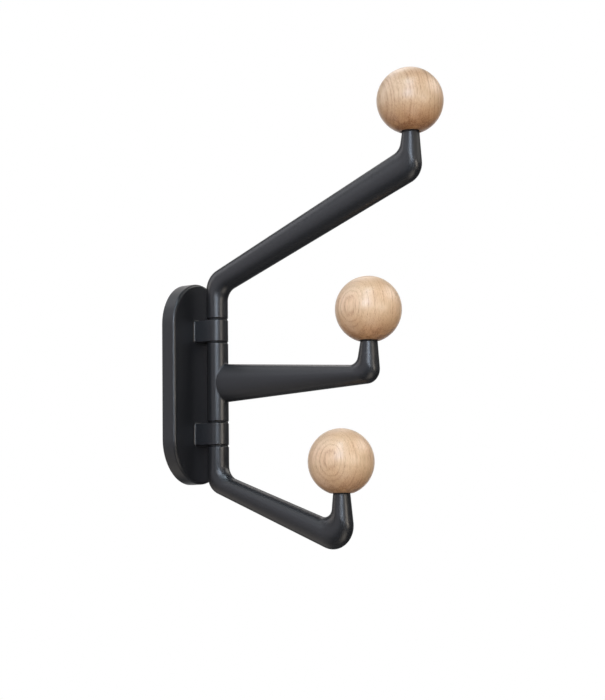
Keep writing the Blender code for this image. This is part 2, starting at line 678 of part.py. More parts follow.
def build_lower_arm(shop):
    bend_inner = (BARREL_RADIUS, LOWER_FOOT - LOWER_BEND_INNER_DROP)
    bend_outer = (-BARREL_RADIUS, LOWER_FOOT - LOWER_BEND_OUTER_DROP)
    bend = (bend_inner, bend_outer, LOWER_BEND_INNER_RADIUS, LOWER_BEND_OUTER_RADIUS)
    drops = (LOWER_NECK_INNER_DROP, LOWER_NECK_OUTER_DROP)
    spreads = (LOWER_NECK_INNER_SPREAD, LOWER_NECK_OUTER_SPREAD)
    neck = neck_edges(LOWER_REACH, LOWER_BALL_HEIGHT, *drops, *spreads)
    elbow = (*neck, LOWER_ELBOW_INNER_RADIUS, LOWER_ELBOW_OUTER_RADIUS)
    build_end_arm(shop, "lower", -1, LOWER_FOOT, bend, elbow, LOWER_REACH, LOWER_BALL_HEIGHT)


def build_middle_arm(shop):
    """The middle arm: a level oval arm that grows out of a barrel between the two knuckles."""
    pivot = shop.empty("middle_arm_pivot", AXIS)
    drops = (MIDDLE_NECK_INNER_DROP, MIDDLE_NECK_OUTER_DROP)
    spreads = (MIDDLE_NECK_INNER_SPREAD, MIDDLE_NECK_OUTER_SPREAD)
    inner_neck, outer_neck = neck_edges(MIDDLE_REACH, MIDDLE_BALL_HEIGHT, *drops, *spreads)
    high_edge = edge_line([(0.0, MIDDLE_ROOT_TOP), *inner_neck], [MIDDLE_ELBOW_INNER_RADIUS])
    low_edge = edge_line([(0.0, MIDDLE_ROOT_BOTTOM), *outer_neck], [MIDDLE_ELBOW_OUTER_RADIUS])
    widths = [ARM_WIDTH / 2, ARM_WIDTH / 2, NECK_TOP_RADIUS]
    arm_shape = arm_mesh("middle_arm_reach", high_edge, low_edge, widths, 0.0)
    end = BARREL_CHAMFER - MIDDLE_END
    points = [
        (0.0, MIDDLE_END),
        (BARREL_RADIUS - BARREL_CHAMFER, MIDDLE_END),
        (BARREL_RADIUS, -end),
        (BARREL_RADIUS, end),
        (BARREL_RADIUS - BARREL_CHAMFER, -MIDDLE_END),
        (0.0, -MIDDLE_END),
    ]
    arm = shop.piece("middle_arm", profile_mesh("middle_arm", points, closed=False), METAL, pivot)
    turn_profile(arm, ROUND_STEPS)
    shop.combine(arm, shop.tool("middle_arm_reach", arm_shape, pivot), "UNION")
    rise = Vector((0.0, 0.0, MIDDLE_END + BUSH_FLANGE))
    bore = rod_mesh("middle_rod_bore", BUSH_BORE_RADIUS, -rise, rise)
    shop.combine(arm, shop.tool("middle_rod_bore", bore, pivot), "DIFFERENCE")
    for outward, label in ((1, "upper"), (-1, "lower")):
        cut_bush_seat(shop, arm, "middle_" + label + "_bush_seat", outward * MIDDLE_END, outward, pivot)
        build_bush(shop, "middle_arm_" + label + "_bush", outward * MIDDLE_END, outward, pivot)
    cut_stud_hole(shop, arm, "middle", MIDDLE_REACH, MIDDLE_BALL_HEIGHT, pivot)
    build_ball(shop, "middle", MIDDLE_REACH, MIDDLE_BALL_HEIGHT, pivot)


def main():
    clear_scene()
    shop = Workshop()
    build_back_plate(shop)
    build_wall_bracket(shop)
    build_pivot_rod(shop)
    build_fixed_screws(shop)
    build_upper_arm(shop)
    build_middle_arm(shop)
    build_lower_arm(shop)


if __name__ == "__main__":
    main()
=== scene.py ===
"""Looks of a swivel wall hook: back plate with two knuckles, three arms on one pivot rod, three oak balls.

Laid out as an add-on: sizes and colours are properties, and each group of pieces is an operator.
All lengths are in metres. The wall is the plane Y = 0, the front looks along -Y, and +Z is up.
"""

import math

import bmesh
import bpy
from bpy.props import FloatProperty, FloatVectorProperty, IntProperty, PointerProperty
from mathutils import Matrix, Vector


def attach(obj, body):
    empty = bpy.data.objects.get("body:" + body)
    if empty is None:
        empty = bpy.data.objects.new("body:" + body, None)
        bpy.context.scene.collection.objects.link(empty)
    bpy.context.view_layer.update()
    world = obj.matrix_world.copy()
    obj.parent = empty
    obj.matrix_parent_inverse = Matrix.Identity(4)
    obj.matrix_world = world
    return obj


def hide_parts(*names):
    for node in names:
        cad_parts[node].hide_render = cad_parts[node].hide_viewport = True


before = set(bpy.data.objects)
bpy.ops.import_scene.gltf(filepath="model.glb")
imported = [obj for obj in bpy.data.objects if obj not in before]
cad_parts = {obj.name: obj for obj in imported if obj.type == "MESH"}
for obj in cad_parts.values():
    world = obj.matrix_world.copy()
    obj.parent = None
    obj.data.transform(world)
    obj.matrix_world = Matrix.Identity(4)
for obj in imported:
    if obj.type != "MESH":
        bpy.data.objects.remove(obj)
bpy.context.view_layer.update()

bl_info = {
    "name": "Swivel wall hook",
    "version": (1, 0, 0),
    "blender": (4, 5, 0),
    "location": "3D View > Sidebar > Wall hook",
    "description": "Back plate, arms, oak balls and fixings of a swivel wall hook",
    "category": "Object",
}

SIDEWAYS = Vector((1.0, 0.0, 0.0))
UPRIGHT = Vector((0.0, 0.0, 1.0))


def measure(label, about, default):
    return FloatProperty(name=label, description=about, default=default, unit="LENGTH", precision=5)


def colour(label, about, default):
    return FloatVectorProperty(
        name=label, description=about, default=default, subtype="COLOR", size=3, min=0.0, max=1.0
    )


def share(label, about, default, most=1.0):
    return FloatProperty(name=label, description=about, default=default, min=0.0, max=most)


def count(label, about, default):
    return IntProperty(name=label, description=about, default=default, min=3)


# The default sizes of what the photo shows come from a least-squares fit to its outline, rounded.
# Those of hidden pieces are guesses.


class PlateSizes(bpy.types.PropertyGroup):
    """The back plate and its two knuckles."""

    width: measure("Width", "Width of the plate", 0.0554)
    height: measure("Height", "Height of the plate", 0.1265)
    thickness: measure("Thickness", "Thickness of the plate", 0.0096)
    edge_radius: measure("Edge radius", "Rounding of the plate's front edge", 0.0018)
    front_wall: measure("Front wall", "Metal left in front of the rear pocket", 0.0024)
    rear_chamfer: measure("Rear chamfer", "Chamfer of the edge that meets the wall", 0.0003)
    knuckle_height: measure("Knuckle height", "Height of one knuckle", 0.0137)
    knuckle_middle: measure("Knuckle middle", "Height of a knuckle's middle over the plate's middle", 0.03235)
    knuckle_rim: measure("Knuckle rim", "Rounding of a knuckle's edges", 0.0005)
    foot_corner: measure("Foot corner", "Rounding of a knuckle's corners at the plate", 0.0013)
    foot_fillet: measure("Foot fillet", "Hollow rounding between knuckle and plate", 0.0010)


class HingeSizes(bpy.types.PropertyGroup):
    """The pivot rod, the barrels that turn on it and their bushes."""

    axis_from_wall: measure("Axis from wall", "Distance of the pivot's axis from the wall", 0.0227)
    barrel_diameter: measure("Barrel", "Diameter of the barrels and of the knuckles' noses", 0.0135)
    barrel_rim: measure("Barrel rim", "Rounding of the barrels' end edges", 0.00045)
    rod_diameter: measure("Rod", "Diameter of the pivot rod", 0.0060)
    rod_chamfer: measure("Rod chamfer", "Chamfer of the rod's ends", 0.0005)
    groove_depth: measure("Groove depth", "Depth of the rod's grooves", 0.0005)
    groove_width: measure("Groove width", "Width of the rod's grooves", 0.0042)
    bush_wall: measure("Bush wall", "Wall of a bush", 0.0012)
    bush_length: measure("Bush length", "Length of a bush inside its barrel", 0.0110)
    bush_flange: measure("Bush flange", "Thickness of a bush's flange", 0.0005)
    bush_inset: measure("Bush inset", "How far a flange's edge lies inside the barrel", 0.0004)
    fit: measure("Fit", "Clearance between pieces that fit into each other", 0.0003)
    axial_play: measure("Axial play", "Clearance on each side of a flange", 0.00025)


class FixingSizes(bpy.types.PropertyGroup):
    """Set screws and the bracket behind the plate."""

    knuckle_screw_diameter: measure("Knuckle screw", "Diameter of a knuckle's set screw", 0.0040)
    knuckle_screw_length: measure("Knuckle screw length", "Length of a knuckle's set screw", 0.0110)
    arm_screw_diameter: measure("Arm screw", "Diameter of an arm's set screw", 0.0030)
    arm_screw_length: measure("Arm screw length", "Length of an arm's set screw", 0.0037)
    lock_screw_length: measure("Lock screw length", "Length of the screw that locks the plate", 0.0110)
    knuckle_screw_pitch: measure("Knuckle screw pitch", "Thread pitch of the larger screws", 0.0007)
    arm_screw_pitch: measure("Arm screw pitch", "Thread pitch of the smaller screws", 0.0005)
    socket_share: share("Socket share", "Hexagon socket width over screw diameter", 0.5)
    point_share: share("Point share", "Dog point diameter over screw diameter", 0.7)
    socket_depth_share: share("Socket depth share", "Socket depth over screw diameter", 0.6)
    bracket_width: measure("Bracket width", "Width of the wall bracket", 0.0300)
    bracket_height: measure("Bracket height", "Height of the wall bracket", 0.1000)
    bracket_gauge: measure("Bracket gauge", "Thickness of the bracket's sheet", 0.0020)
    bracket_bend: measure("Bracket bend", "Inner radius of the bracket's bends", 0.0008)
    bracket_hole_diameter: measure("Bracket hole", "Diameter of the wall screw holes", 0.0048)
    bracket_hole_spacing: measure("Hole spacing", "Distance between the wall screw holes", 0.0440)


class ArmSizes(bpy.types.PropertyGroup):
    """What all three arms share."""

    width: measure("Width", "Width of an arm across its plane", 0.0123)
    neck_diameter: measure("Neck", "Diameter of a neck's top", 0.0106)
    neck_rim: measure("Neck rim", "Rounding of a neck's top edge", 0.0004)
    root_fillet: measure("Root fillet", "Hollow rounding where the middle arm leaves its barrel", 0.0012)
    rest_above_screw: measure("Rest above screw", "Rod beyond the end arms' set screws", 0.0030)
    sides: count("Sides", "Faces round an arm", 96)


class UpperArmSizes(bpy.types.PropertyGroup):
    """The upper arm, in its own plane."""

    reach: measure("Reach", "Ball's distance from the pivot", 0.1418)
    ball_height: measure("Ball height", "Height of the ball's middle", 0.1593)
    bend_inner_run: measure("Inner bend", "Bend's inner corner above the foot", 0.0160)
    bend_outer_run: measure("Outer bend", "Bend's outer corner above the foot", 0.0274)
    neck_inner_drop: measure("Inner drop", "Elbow's inner corner below the neck's top", 0.0099)
    neck_outer_drop: measure("Outer drop", "Elbow's outer corner below the neck's top", 0.0268)
    neck_inner_spread: measure("Inner spread", "Taper of the neck's inner edge", 0.0018)
    neck_outer_spread: measure("Outer spread", "Taper of the neck's outer edge", 0.0017)
    bend_inner_radius: measure("Inner bend radius", "Rounding of the bend's inner corner", 0.0090)
    bend_outer_radius: measure("Outer bend radius", "Rounding of the bend's outer corner", 0.0126)
    elbow_inner_radius: measure("Inner elbow radius", "Rounding of the elbow's inner corner", 0.0083)
    elbow_outer_radius: measure("Outer elbow radius", "Rounding of the elbow's outer corner", 0.0114)


class MiddleArmSizes(bpy.types.PropertyGroup):
    """The middle arm, in its own plane."""

    reach: measure("Reach", "Ball's distance from the pivot", 0.1105)
    ball_height: measure("Ball height", "Height of the ball's middle", 0.0367)
    root_top: measure("Root top", "Upper edge of the arm at the pivot", 0.0117)
    root_bottom: measure("Root bottom", "Lower edge of the arm at the pivot", -0.0131)
    neck_inner_drop: measure("Inner drop", "Elbow's inner corner below the neck's top", 0.0134)
    neck_outer_drop: measure("Outer drop", "Elbow's outer corner below the neck's top", 0.0247)
    neck_inner_spread: measure("Inner spread", "Taper of the neck's inner edge", 0.0027)
    neck_outer_spread: measure("Outer spread", "Taper of the neck's outer edge", 0.0016)
    elbow_inner_radius: measure("Inner elbow radius", "Rounding of the elbow's inner corner", 0.0058)
    elbow_outer_radius: measure("Outer elbow radius", "Rounding of the elbow's outer corner", 0.0083)


class LowerArmSizes(bpy.types.PropertyGroup):
    """The lower arm, in its own plane."""

    reach: measure("Reach", "Ball's distance from the pivot", 0.0898)
    ball_height: measure("Ball height", "Height of the ball's middle", -0.0533)
    bend_inner_run: measure("Inner bend", "Bend's inner corner below the foot", 0.0181)
    bend_outer_run: measure("Outer bend", "Bend's outer corner below the foot", 0.0263)
    neck_inner_drop: measure("Inner drop", "Elbow's inner corner below the neck's top", 0.0156)
    neck_outer_drop: measure("Outer drop", "Elbow's outer corner below the neck's top", 0.0408)
    neck_inner_spread: measure("Inner spread", "Taper of the neck's inner edge", 0.0016)
    neck_outer_spread: measure("Outer spread", "Taper of the neck's outer edge", 0.0040)
    bend_inner_radius: measure("Inner bend radius", "Rounding of the bend's inner corner", 0.0102)
    bend_outer_radius: measure("Outer bend radius", "Rounding of the bend's outer corner", 0.0116)
    elbow_inner_radius: measure("Inner elbow radius", "Rounding of the elbow's inner corner", 0.0058)
    elbow_outer_radius: measure("Outer elbow radius", "Rounding of the elbow's outer corner", 0.0134)


class BallSizes(bpy.types.PropertyGroup):
    """The oak balls, their washers, inserts and studs."""

    diameter: measure("Ball", "Diameter of a ball", 0.0400)
    flat_diameter: measure("Flat", "Diameter of the flat under a ball", 0.0138)
    recess_diameter: measure("Recess", "Diameter of the recess in the flat", 0.0122)
    recess_depth: measure("Recess depth", "Depth of the recess", 0.0006)
    edge_radius: measure("Edge radius", "Rounding where the flat meets the ball", 0.0004)
    washer_diameter: measure("Washer", "Diameter of the washer between neck and ball", 0.0104)
    washer_thickness: measure("Washer thickness", "Thickness of the washer", 0.0012)
    insert_diameter: measure("Insert", "Diameter of the brass insert", 0.0080)
    insert_length: measure("Insert length", "Length of the brass insert", 0.0120)
    insert_chamfer: measure("Insert chamfer", "Chamfer of the insert's inner end", 0.0004)
    insert_pitch: measure("Insert pitch", "Pitch of the insert's outer ribs", 0.0012)
    stud_diameter: measure("Stud", "Diameter of the stud", 0.0040)
    stud_in_neck: measure("Stud in neck", "Length of the stud inside the neck", 0.0090)
    stud_in_ball: measure("Stud in ball", "Length of the stud above the neck", 0.0100)
    stud_chamfer: measure("Stud chamfer", "Chamfer of the stud's ends", 0.0004)
    stud_pitch: measure("Stud pitch", "Thread pitch of the stud", 0.0007)
    sides: count("Sides", "Faces round a ball", 128)


class Finishes(bpy.types.PropertyGroup):
    """Colours and textures."""

    coat: colour("Coat", "Powder coat", (0.0070, 0.0076, 0.0090))
    coat_roughness: share("Coat roughness", "Roughness of the powder coat", 0.35)
    coat_grain: measure("Coat grain", "Size of the powder coat's texture", 0.00035)
    oak_light: colour("Light oak", "Wood between the year rings", (0.600, 0.422, 0.262))
    oak_dark: colour("Dark oak", "Pores and the dark line of each year ring", (0.250, 0.120, 0.052))
    # Blended in by height over the lower half of each ball: darker and warmer towards the bottom
    oak_oiled: colour("Oiled oak", "Wood near the end grain, under each ball", (0.440, 0.190, 0.055))
    oak_soaked: colour("Soaked oak", "End grain that took up more oil", (0.190, 0.060, 0.015))
    ring_spacing: measure("Ring spacing", "Distance between year rings", 0.0020)
    oak_roughness: share("Oak roughness", "Roughness of the wood under its lacquer", 0.42)
    lacquer: share("Lacquer", "How much satin lacquer lies on the wood", 0.6)
    lacquer_roughness: share("Lacquer roughness", "Roughness of the lacquer", 0.34)
    steel: colour("Steel", "Zinc plated steel", (0.55, 0.56, 0.58))
    brass: colour("Brass", "Brass of the inserts", (0.72, 0.50, 0.20))
    nylon: colour("Nylon", "Black nylon", (0.006, 0.006, 0.0065))


class StageSettings(bpy.types.PropertyGroup):
    """Floor, surroundings and lamps."""

    floor_drop: measure("Floor drop", "Depth of the floor below the plate's middle", 1.6)
    floor_size: measure("Floor size", "Side of the square floor", 12.0)
    floor: colour("Floor", "Pale floor", (0.80, 0.80, 0.80))
    floor_glow: share("Floor glow", "Share of plain white that the camera sees in the floor", 0.7)
    ambient: share("Ambient", "Level of the surroundings away from the white backdrop", 0.025)
    lamps: share("Lamps", "Level of all lamps together", 1.0, 10.0)
    spread: FloatProperty(
        name="Spread", description="Cone that a lamp's grid lets through", default=1.22, subtype="ANGLE"
    )


GROUPS = (
    ("plate", PlateSizes),
    ("hinge", HingeSizes),
    ("fixing", FixingSizes),
    ("arm", ArmSizes),
    ("upper", UpperArmSizes),
    ("middle", MiddleArmSizes),
    ("lower", LowerArmSizes),
    ("ball", BallSizes),
    ("finish", Finishes),
    ("stage", StageSettings),
)

# The photo's camera, from the same fit as the sizes
CAMERA_AT = Vector((-0.94338, -0.69488, -0.11754))
CAMERA_AIM = Vector((0.026445, -0.069017, 0.019533))
CAMERA_UP = Vector((-0.091979, -0.074932, 0.992938))
LENS_MM = 95.56
SENSOR_MM = 36.0

# Steps along and round the pieces' skins
CORNER_STEPS = 18
SPAN_STEPS = 10
RIM_STEPS = 6
PLATE_RIM_STEPS = 8
OBLONG_STEPS = 48
FILLET_STEPS = 10
SIDE_STEPS = 12
NOSE_STEPS = 32
BALL_STEPS = 64
BALL_EDGE_STEPS = 5
BARREL_STEPS = 26
ROOT_FILLET_STEPS = 8
ROOT_RUN_STEPS = 30
BEND_STEPS = 8
BEVEL_STEPS = 2
STEPS_PER_PITCH = 8

# Faces round turned pieces, small ones and sockets
TURNED_SIDES = 64
SMALL_SIDES = 32
SOCKET_SIDES = 6

# Points closer than this are one, and a knuckle's fillet starts this far inside the plate
MERGE = 0.000001
SKIN_OVERLAP = 4 * MERGE

# Length over which a knuckle's corner rounding changes, in corner radii
CORNER_REACH = 3

# Rounds of halving that find where the middle arm's fillet starts
HALVINGS = 40

# Degrees past which an edge stays sharp, on plain and on threaded pieces, or gets a bevel
CREASE = 35.0
THREAD_CREASE = 30.0
BEVEL_ANGLE = 50.0

# How strongly the shading of rounded edges leans to the flat faces beside them
FLAT_FACE_WEIGHT = 60

# Depth of threads and ribs over their pitch, and the radius that they leave whole
THREAD_DEPTH = 0.55
RIB_DEPTH = 1 / 3
CORE_SHARE = 0.9

# The hook's two ends: the sign of their height and their label
ENDS = ((1, "upper"), (-1, "lower"))


class Sizes:
    """All sizes by name, and the heights and radii that follow from them."""

    def __init__(self, scene):
        for name, _ in GROUPS:
            setattr(self, name, getattr(scene, "hook_" + name))
        plate, hinge, fixing, ball = self.plate, self.hinge, self.fixing, self.ball
        self.axis = Vector((0.0, -hinge.axis_from_wall, 0.0))
        self.barrel = hinge.barrel_diameter / 2
        self.rod = hinge.rod_diameter / 2
        self.groove = self.rod - hinge.groove_depth
        self.bore = self.rod + hinge.fit
        self.bush = self.bore + hinge.bush_wall
        self.seat = self.bush + hinge.fit
        self.seam = hinge.bush_flange + 2 * hinge.axial_play
        self.knuckle_top = plate.knuckle_middle + plate.knuckle_height / 2
        self.foot = self.knuckle_top + self.seam
        self.middle_end = plate.knuckle_middle - plate.knuckle_height / 2 - self.seam
        self.screw_rise = hinge.bush_length + hinge.fit + fixing.arm_screw_diameter
        self.rod_end = self.foot + self.screw_rise + self.arm.rest_above_screw
        self.neck = self.arm.neck_diameter / 2
        self.ball_radius = ball.diameter / 2
        self.flat_drop = math.sqrt(self.ball_radius**2 - (ball.flat_diameter / 2) ** 2)
        self.recess_floor = self.flat_drop - ball.recess_depth
        self.neck_drop = self.recess_floor + ball.washer_thickness
        self.pocket_depth = plate.thickness - plate.front_wall
        self.lock_axis = Vector((0.0, -(fixing.bracket_gauge + self.pocket_depth - hinge.fit) / 2, 0.0))
        self.stud_hole = ball.stud_diameter / 2 + hinge.fit
        self.small_hole = fixing.arm_screw_diameter / 2 + hinge.fit

    def at(self, reach, height, across=0.0):
        """A point of the hook at rest, by its distances from the pivot's middle."""
        return self.axis + Vector((across, -reach, height))


# Node trees


class Field:
    """A value in a node tree, from one node's output. Plain arithmetic on it adds math nodes."""

    def __init__(self, socket):
        self.socket = socket
        self.tree = socket.id_data

    def math(self, operation, *others, clamp=False):
        inputs = dict(enumerate((self, *others)))
        return field(self.tree, "ShaderNodeMath", inputs, operation=operation, use_clamp=clamp)

    def vector(self, operation, *others, output=0, **named):
        inputs = {**dict(enumerate((self, *others))), **named}
        return field(self.tree, "ShaderNodeVectorMath", inputs, output, operation=operation)

    def length(self):
        return self.vector("LENGTH", output="Value")

    def parts(self):
        return [Field(output) for output in add_node(self.tree, "ShaderNodeSeparateXYZ", {0: self}).outputs]

    def __add__(self, other):
        return self.math("ADD", other)

    def __sub__(self, other):
        return self.math("SUBTRACT", other)

    def __rsub__(self, other):
        return self.math("MULTIPLY_ADD", -1.0, other)

    def __mul__(self, other):
        return self.math("MULTIPLY", other)

    def __truediv__(self, other):
        return self.math("DIVIDE", other)


def fill(node, inputs):
    """Gives a node's inputs, by name or number, a value or a field."""
    for key, value in inputs.items():
        if isinstance(value, Field):
            node.id_data.links.new(value.socket, node.inputs[key])
        else:
            node.inputs[key].default_value = value


def add_node(tree, kind, inputs=None, **settings):
    node = tree.nodes.new(kind)
    for key, value in settings.items():
        setattr(node, key, value)
    fill(node, inputs or {})
    return node


def field(tree, kind, inputs=None, output=0, **settings):
    """A new node's output."""
    return Field(add_node(tree, kind, inputs, **settings).outputs[output])


def found_or_made(collection, name, make, *values):
    """What Blender already has under a name, or else what make gives."""
    return collection.get(name) or make(name, *values)


def new_tree(name, **kinds):
    """A geometry tree with geometry in and out, and inputs by name: each one's kind, and a material."""
    tree = bpy.data.node_groups.new(name, "GeometryNodeTree")
    kinds = {"Geometry": "Geometry", **kinds, "Material": "Material"}
    for label, kind in kinds.items():
        tree.interface.new_socket(label, in_out="INPUT", socket_type="NodeSocket" + kind)
    tree.interface.new_socket("Geometry", in_out="OUTPUT", socket_type="NodeSocketGeometry")
    given = add_node(tree, "NodeGroupInput")
    return tree, {label: Field(given.outputs[label]) for label in kinds}


def end_tree(tree, geometry, material):
    plain = field(tree, "GeometryNodeRealizeInstances", {"Geometry": geometry})
    coated = field(tree, "GeometryNodeSetMaterial", {"Geometry": plain, "Material": material})
    add_node(tree, "NodeGroupOutput", {"Geometry": coated})
    return tree


def make_ring_skin(name):
    """Skins a row of oval rings: each point has a half vector and a half width across the plane."""
    tree, given = new_tree(name, Sides="Int")
    rings, sides = given["Geometry"], given["Sides"]
    amount = field(tree, "GeometryNodeAttributeDomainSize", {"Geometry": rings}, "Point Count")
    columns = sides + 1.0
    grid = field(tree, "GeometryNodeMeshGrid", {"Vertices X": amount, "Vertices Y": columns}, "Mesh")
    index = field(tree, "GeometryNodeInputIndex")
    row = ((index + 0.5) / columns).math("FLOOR")
    column = index - row * columns
    angle = column / sides * (2 * math.pi)

    def sampled(value, kind):
        inputs = {"Geometry": rings, "Value": value, "Index": row}
        return field(tree, "GeometryNodeSampleIndex", inputs, "Value", data_type=kind, domain="POINT")

    def attribute(label, kind):
        return field(tree, "GeometryNodeInputNamedAttribute", {"Name": label}, "Attribute", data_type=kind)

    middle = sampled(field(tree, "GeometryNodeInputPosition"), "FLOAT_VECTOR")
    half = sampled(attribute("half", "FLOAT_VECTOR"), "FLOAT_VECTOR")
    width = sampled(attribute("width", "FLOAT"), "FLOAT")
    up = half.vector("SCALE", Scale=angle.math("COSINE"))
    side = field(tree, "ShaderNodeCombineXYZ", {"X": width * angle.math("SINE")})
    place = middle.vector("ADD", up).vector("ADD", side)
    moved = field(tree, "GeometryNodeSetPosition", {"Geometry": grid, "Position": place})
    closed = field(tree, "GeometryNodeMergeByDistance", {"Geometry": moved, "Distance": MERGE})
    return end_tree(tree, closed, given["Material"])


def make_thread(name):
    """Cuts a helical groove into a turned piece about its own Z axis, between two heights."""
    tree, given = new_tree(name, Pitch="Float", Depth="Float", Low="Float", High="Float", Core="Float")
    x, y, z = field(tree, "GeometryNodeInputPosition").parts()
    pitch = given["Pitch"]
    turn = y.math("ARCTAN2", x) / (2 * math.pi)
    wave = ((z / pitch - turn).math("FRACT") * 2.0 - 1.0).math("ABSOLUTE")
    above = (z - given["Low"]).math("DIVIDE", pitch, clamp=True)
    below = (given["High"] - z).math("DIVIDE", pitch, clamp=True)
    cut = wave * (above * below) * given["Depth"]
    flat = field(tree, "ShaderNodeCombineXYZ", {"X": x, "Y": y})
    outside = flat.length().math("GREATER_THAN", given["Core"])
    offset = flat.vector("NORMALIZE").vector("SCALE", Scale=cut * outside * -1.0)
    moved = field(tree, "GeometryNodeSetPosition", {"Geometry": given["Geometry"], "Offset": offset})
    return end_tree(tree, moved, given["Material"])


def make_bent_strip(name):
    """Bends a flat strip along a path of straight runs."""
    tree, given = new_tree(name, Width="Float", Gauge="Float", Bend="Float")
    path = field(tree, "GeometryNodeMeshToCurve", {"Mesh": given["Geometry"]})
    corners = {"Curve": path, "Radius": given["Bend"], "Count": BEND_STEPS}
    bent = field(tree, "GeometryNodeFilletCurve", corners, mode="POLY")
    flat = {"Width": given["Width"], "Height": given["Gauge"]}
    section = field(tree, "GeometryNodeCurvePrimitiveQuadrilateral", flat)
    sweep = {"Curve": bent, "Profile Curve": section, "Fill Caps": True}
    return end_tree(tree, field(tree, "GeometryNodeCurveToMesh", sweep), given["Material"])


# Making pieces


def link_piece(name, mesh):
    item = bpy.data.objects.new(name, mesh)
    bpy.context.scene.collection.objects.link(item)
    return item


def piece_from(name, bm):
    """A piece with a mesh that is ready, whose bmesh is no longer needed."""
    mesh = bpy.data.meshes.new(name)
    bm.to_mesh(mesh)
    bm.free()
    return link_piece(name, mesh)


def run_tree(item, name, make, values):
    """Runs a geometry tree over a piece, with its inputs set by their identifiers."""
    tree = found_or_made(bpy.data.node_groups, name, make)
    modifier = item.modifiers.new(name, "NODES")
    modifier.node_group = tree
    for socket in tree.interface.items_tree:
        if socket.item_type == "SOCKET" and socket.in_out == "INPUT" and socket.name in values:
            modifier[socket.identifier] = values[socket.name]
    settle(item)


def settle(item):
    """Replaces a piece's modifiers with the plain mesh they make."""
    bpy.context.view_layer.update()
    graph = bpy.context.evaluated_depsgraph_get()
    mesh = bpy.data.meshes.new_from_object(
        item.evaluated_get(graph), preserve_all_data_layers=True, depsgraph=graph
    )
    item.modifiers.clear()
    old = item.data
    item.data = mesh
    bpy.data.meshes.remove(old)


def mend(item):
    """Merges doubles and turns every face outwards."""
    bm = bmesh.new()
    bm.from_mesh(item.data)
    bmesh.ops.remove_doubles(bm, verts=bm.verts, dist=MERGE)
    bmesh.ops.dissolve_degenerate(bm, edges=bm.edges, dist=MERGE)
    bmesh.ops.recalc_face_normals(bm, faces=bm.faces)
    bm.to_mesh(item.data)
    bm.free()


def carve(item, cutters, operation="DIFFERENCE"):
    """Cuts the cutters out of a piece, or joins them to it, and removes them."""
    for cutter in cutters:
        modifier = item.modifiers.new(cutter.name, "BOOLEAN")
        modifier.object = cutter
        modifier.operation = operation
        modifier.solver = "EXACT"
    settle(item)
    for cutter in cutters:
        bpy.data.objects.remove(cutter, do_unlink=True)


def smooth(item, crease):
    """Smooth shading with sharp creases, weighted so that flat faces stay flat."""
    item.data.shade_smooth()
    item.data.set_sharp_from_angle(angle=math.radians(crease))
    modifier = item.modifiers.new("weighted", "WEIGHTED_NORMAL")
    modifier.weight = FLAT_FACE_WEIGHT
    modifier.keep_sharp = True
    settle(item)


def hand_over(item, material, node, body, crease=CREASE):
    """Smooths a finished piece, gives it its material and its body, and hides the CAD part that it replaces.
    """
    smooth(item, crease)
    item.data.materials.clear()
    item.data.materials.append(material)
    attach(item, body)
    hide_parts(node)


def skin_rings(name, rings, sides, material):
    """A closed skin over rings of (one edge point, opposite edge point, half width across)."""
    mesh = bpy.data.meshes.new(name + "_rings")
    mesh.from_pydata([(first + second) / 2 for first, second, _ in rings], [], [])
    halves = mesh.attributes.new("half", "FLOAT_VECTOR", "POINT")
    halves.data.foreach_set("vector", [part for first, second, _ in rings for part in (first - second) / 2])
    widths = mesh.attributes.new("width", "FLOAT", "POINT")
    widths.data.foreach_set("value", [width for _, _, width in rings])
    item = link_piece(name, mesh)
    run_tree(item, "ring_skin", make_ring_skin, {"Sides": sides, "Material": material})
    mend(item)
    return item


def turned(name, profile, material, centre=Vector(), sides=TURNED_SIDES):
    """A piece turned about an upright axis, from (radius, height) pairs."""
    rings = []
    for radius, height in profile:
        middle = centre + UPRIGHT * height
        arm = Vector((0.0, radius, 0.0))
        rings.append((middle + arm, middle - arm, radius))
    return skin_rings(name, rings, sides, material)


def cylinder(name, radius, start, end, sides=TURNED_SIDES):
    """A plain cutter between two points."""
    along = end - start
    bm = bmesh.new()
    bmesh.ops.create_cone(
        bm, cap_ends=True, segments=sides, radius1=radius, radius2=radius, depth=along.length
    )
    turn = UPRIGHT.rotation_difference(along).to_matrix()
    bmesh.ops.rotate(bm, cent=Vector(), matrix=turn, verts=bm.verts)
    bmesh.ops.translate(bm, vec=(start + end) / 2, verts=bm.verts)
    return piece_from(name, bm)


def skin_rows(name, rows, closed_end=True):
    """A mesh over rows of points, each row a closed loop with as many points."""
    bm = bmesh.new()
    add_rows(bm, rows)
    for row in (rows[0], rows[-1]) if closed_end else (rows[0],):
        bm.faces.new([bm.verts.new(point) for point in row])
    item = piece_from(name, bm)
    mend(item)
    return item


def add_rows(bm, rows, closed=True):
    """Quads between neighbouring rows of points."""
    verts = [[bm.verts.new(point) for point in row] for row in rows]
    for row, following in zip(verts, verts[1:]):
        for index in range(len(row) if closed else len(row) - 1):
            after = (index + 1) % len(row)
            bm.faces.new((row[index], row[after], following[after], following[index]))


def quarter(steps):
    """Sine and cosine in even steps over a right angle, ends included."""
    for step in range(steps + 1):
        angle = math.pi / 2 * step / steps
        yield math.sin(angle), math.cos(angle)


def arc_between(centre, first, last, steps):
    """Even steps over an arc about its centre, from one arm of it to the other."""
    sweep = first.angle(last)
    for step in range(steps + 1):
        part = step / steps
        turn = first * math.sin((1 - part) * sweep) + last * math.sin(part * sweep)
        yield centre + turn / math.sin(sweep)


def rounded_rim(radius, height, rim, outward):
    """Profile points of a rounded end edge, from its flat face to its side wall."""
    return [
        (radius - rim + rim * sine, height - outward * rim * (1 - cosine))
        for sine, cosine in quarter(RIM_STEPS)
    ]


# Back plate


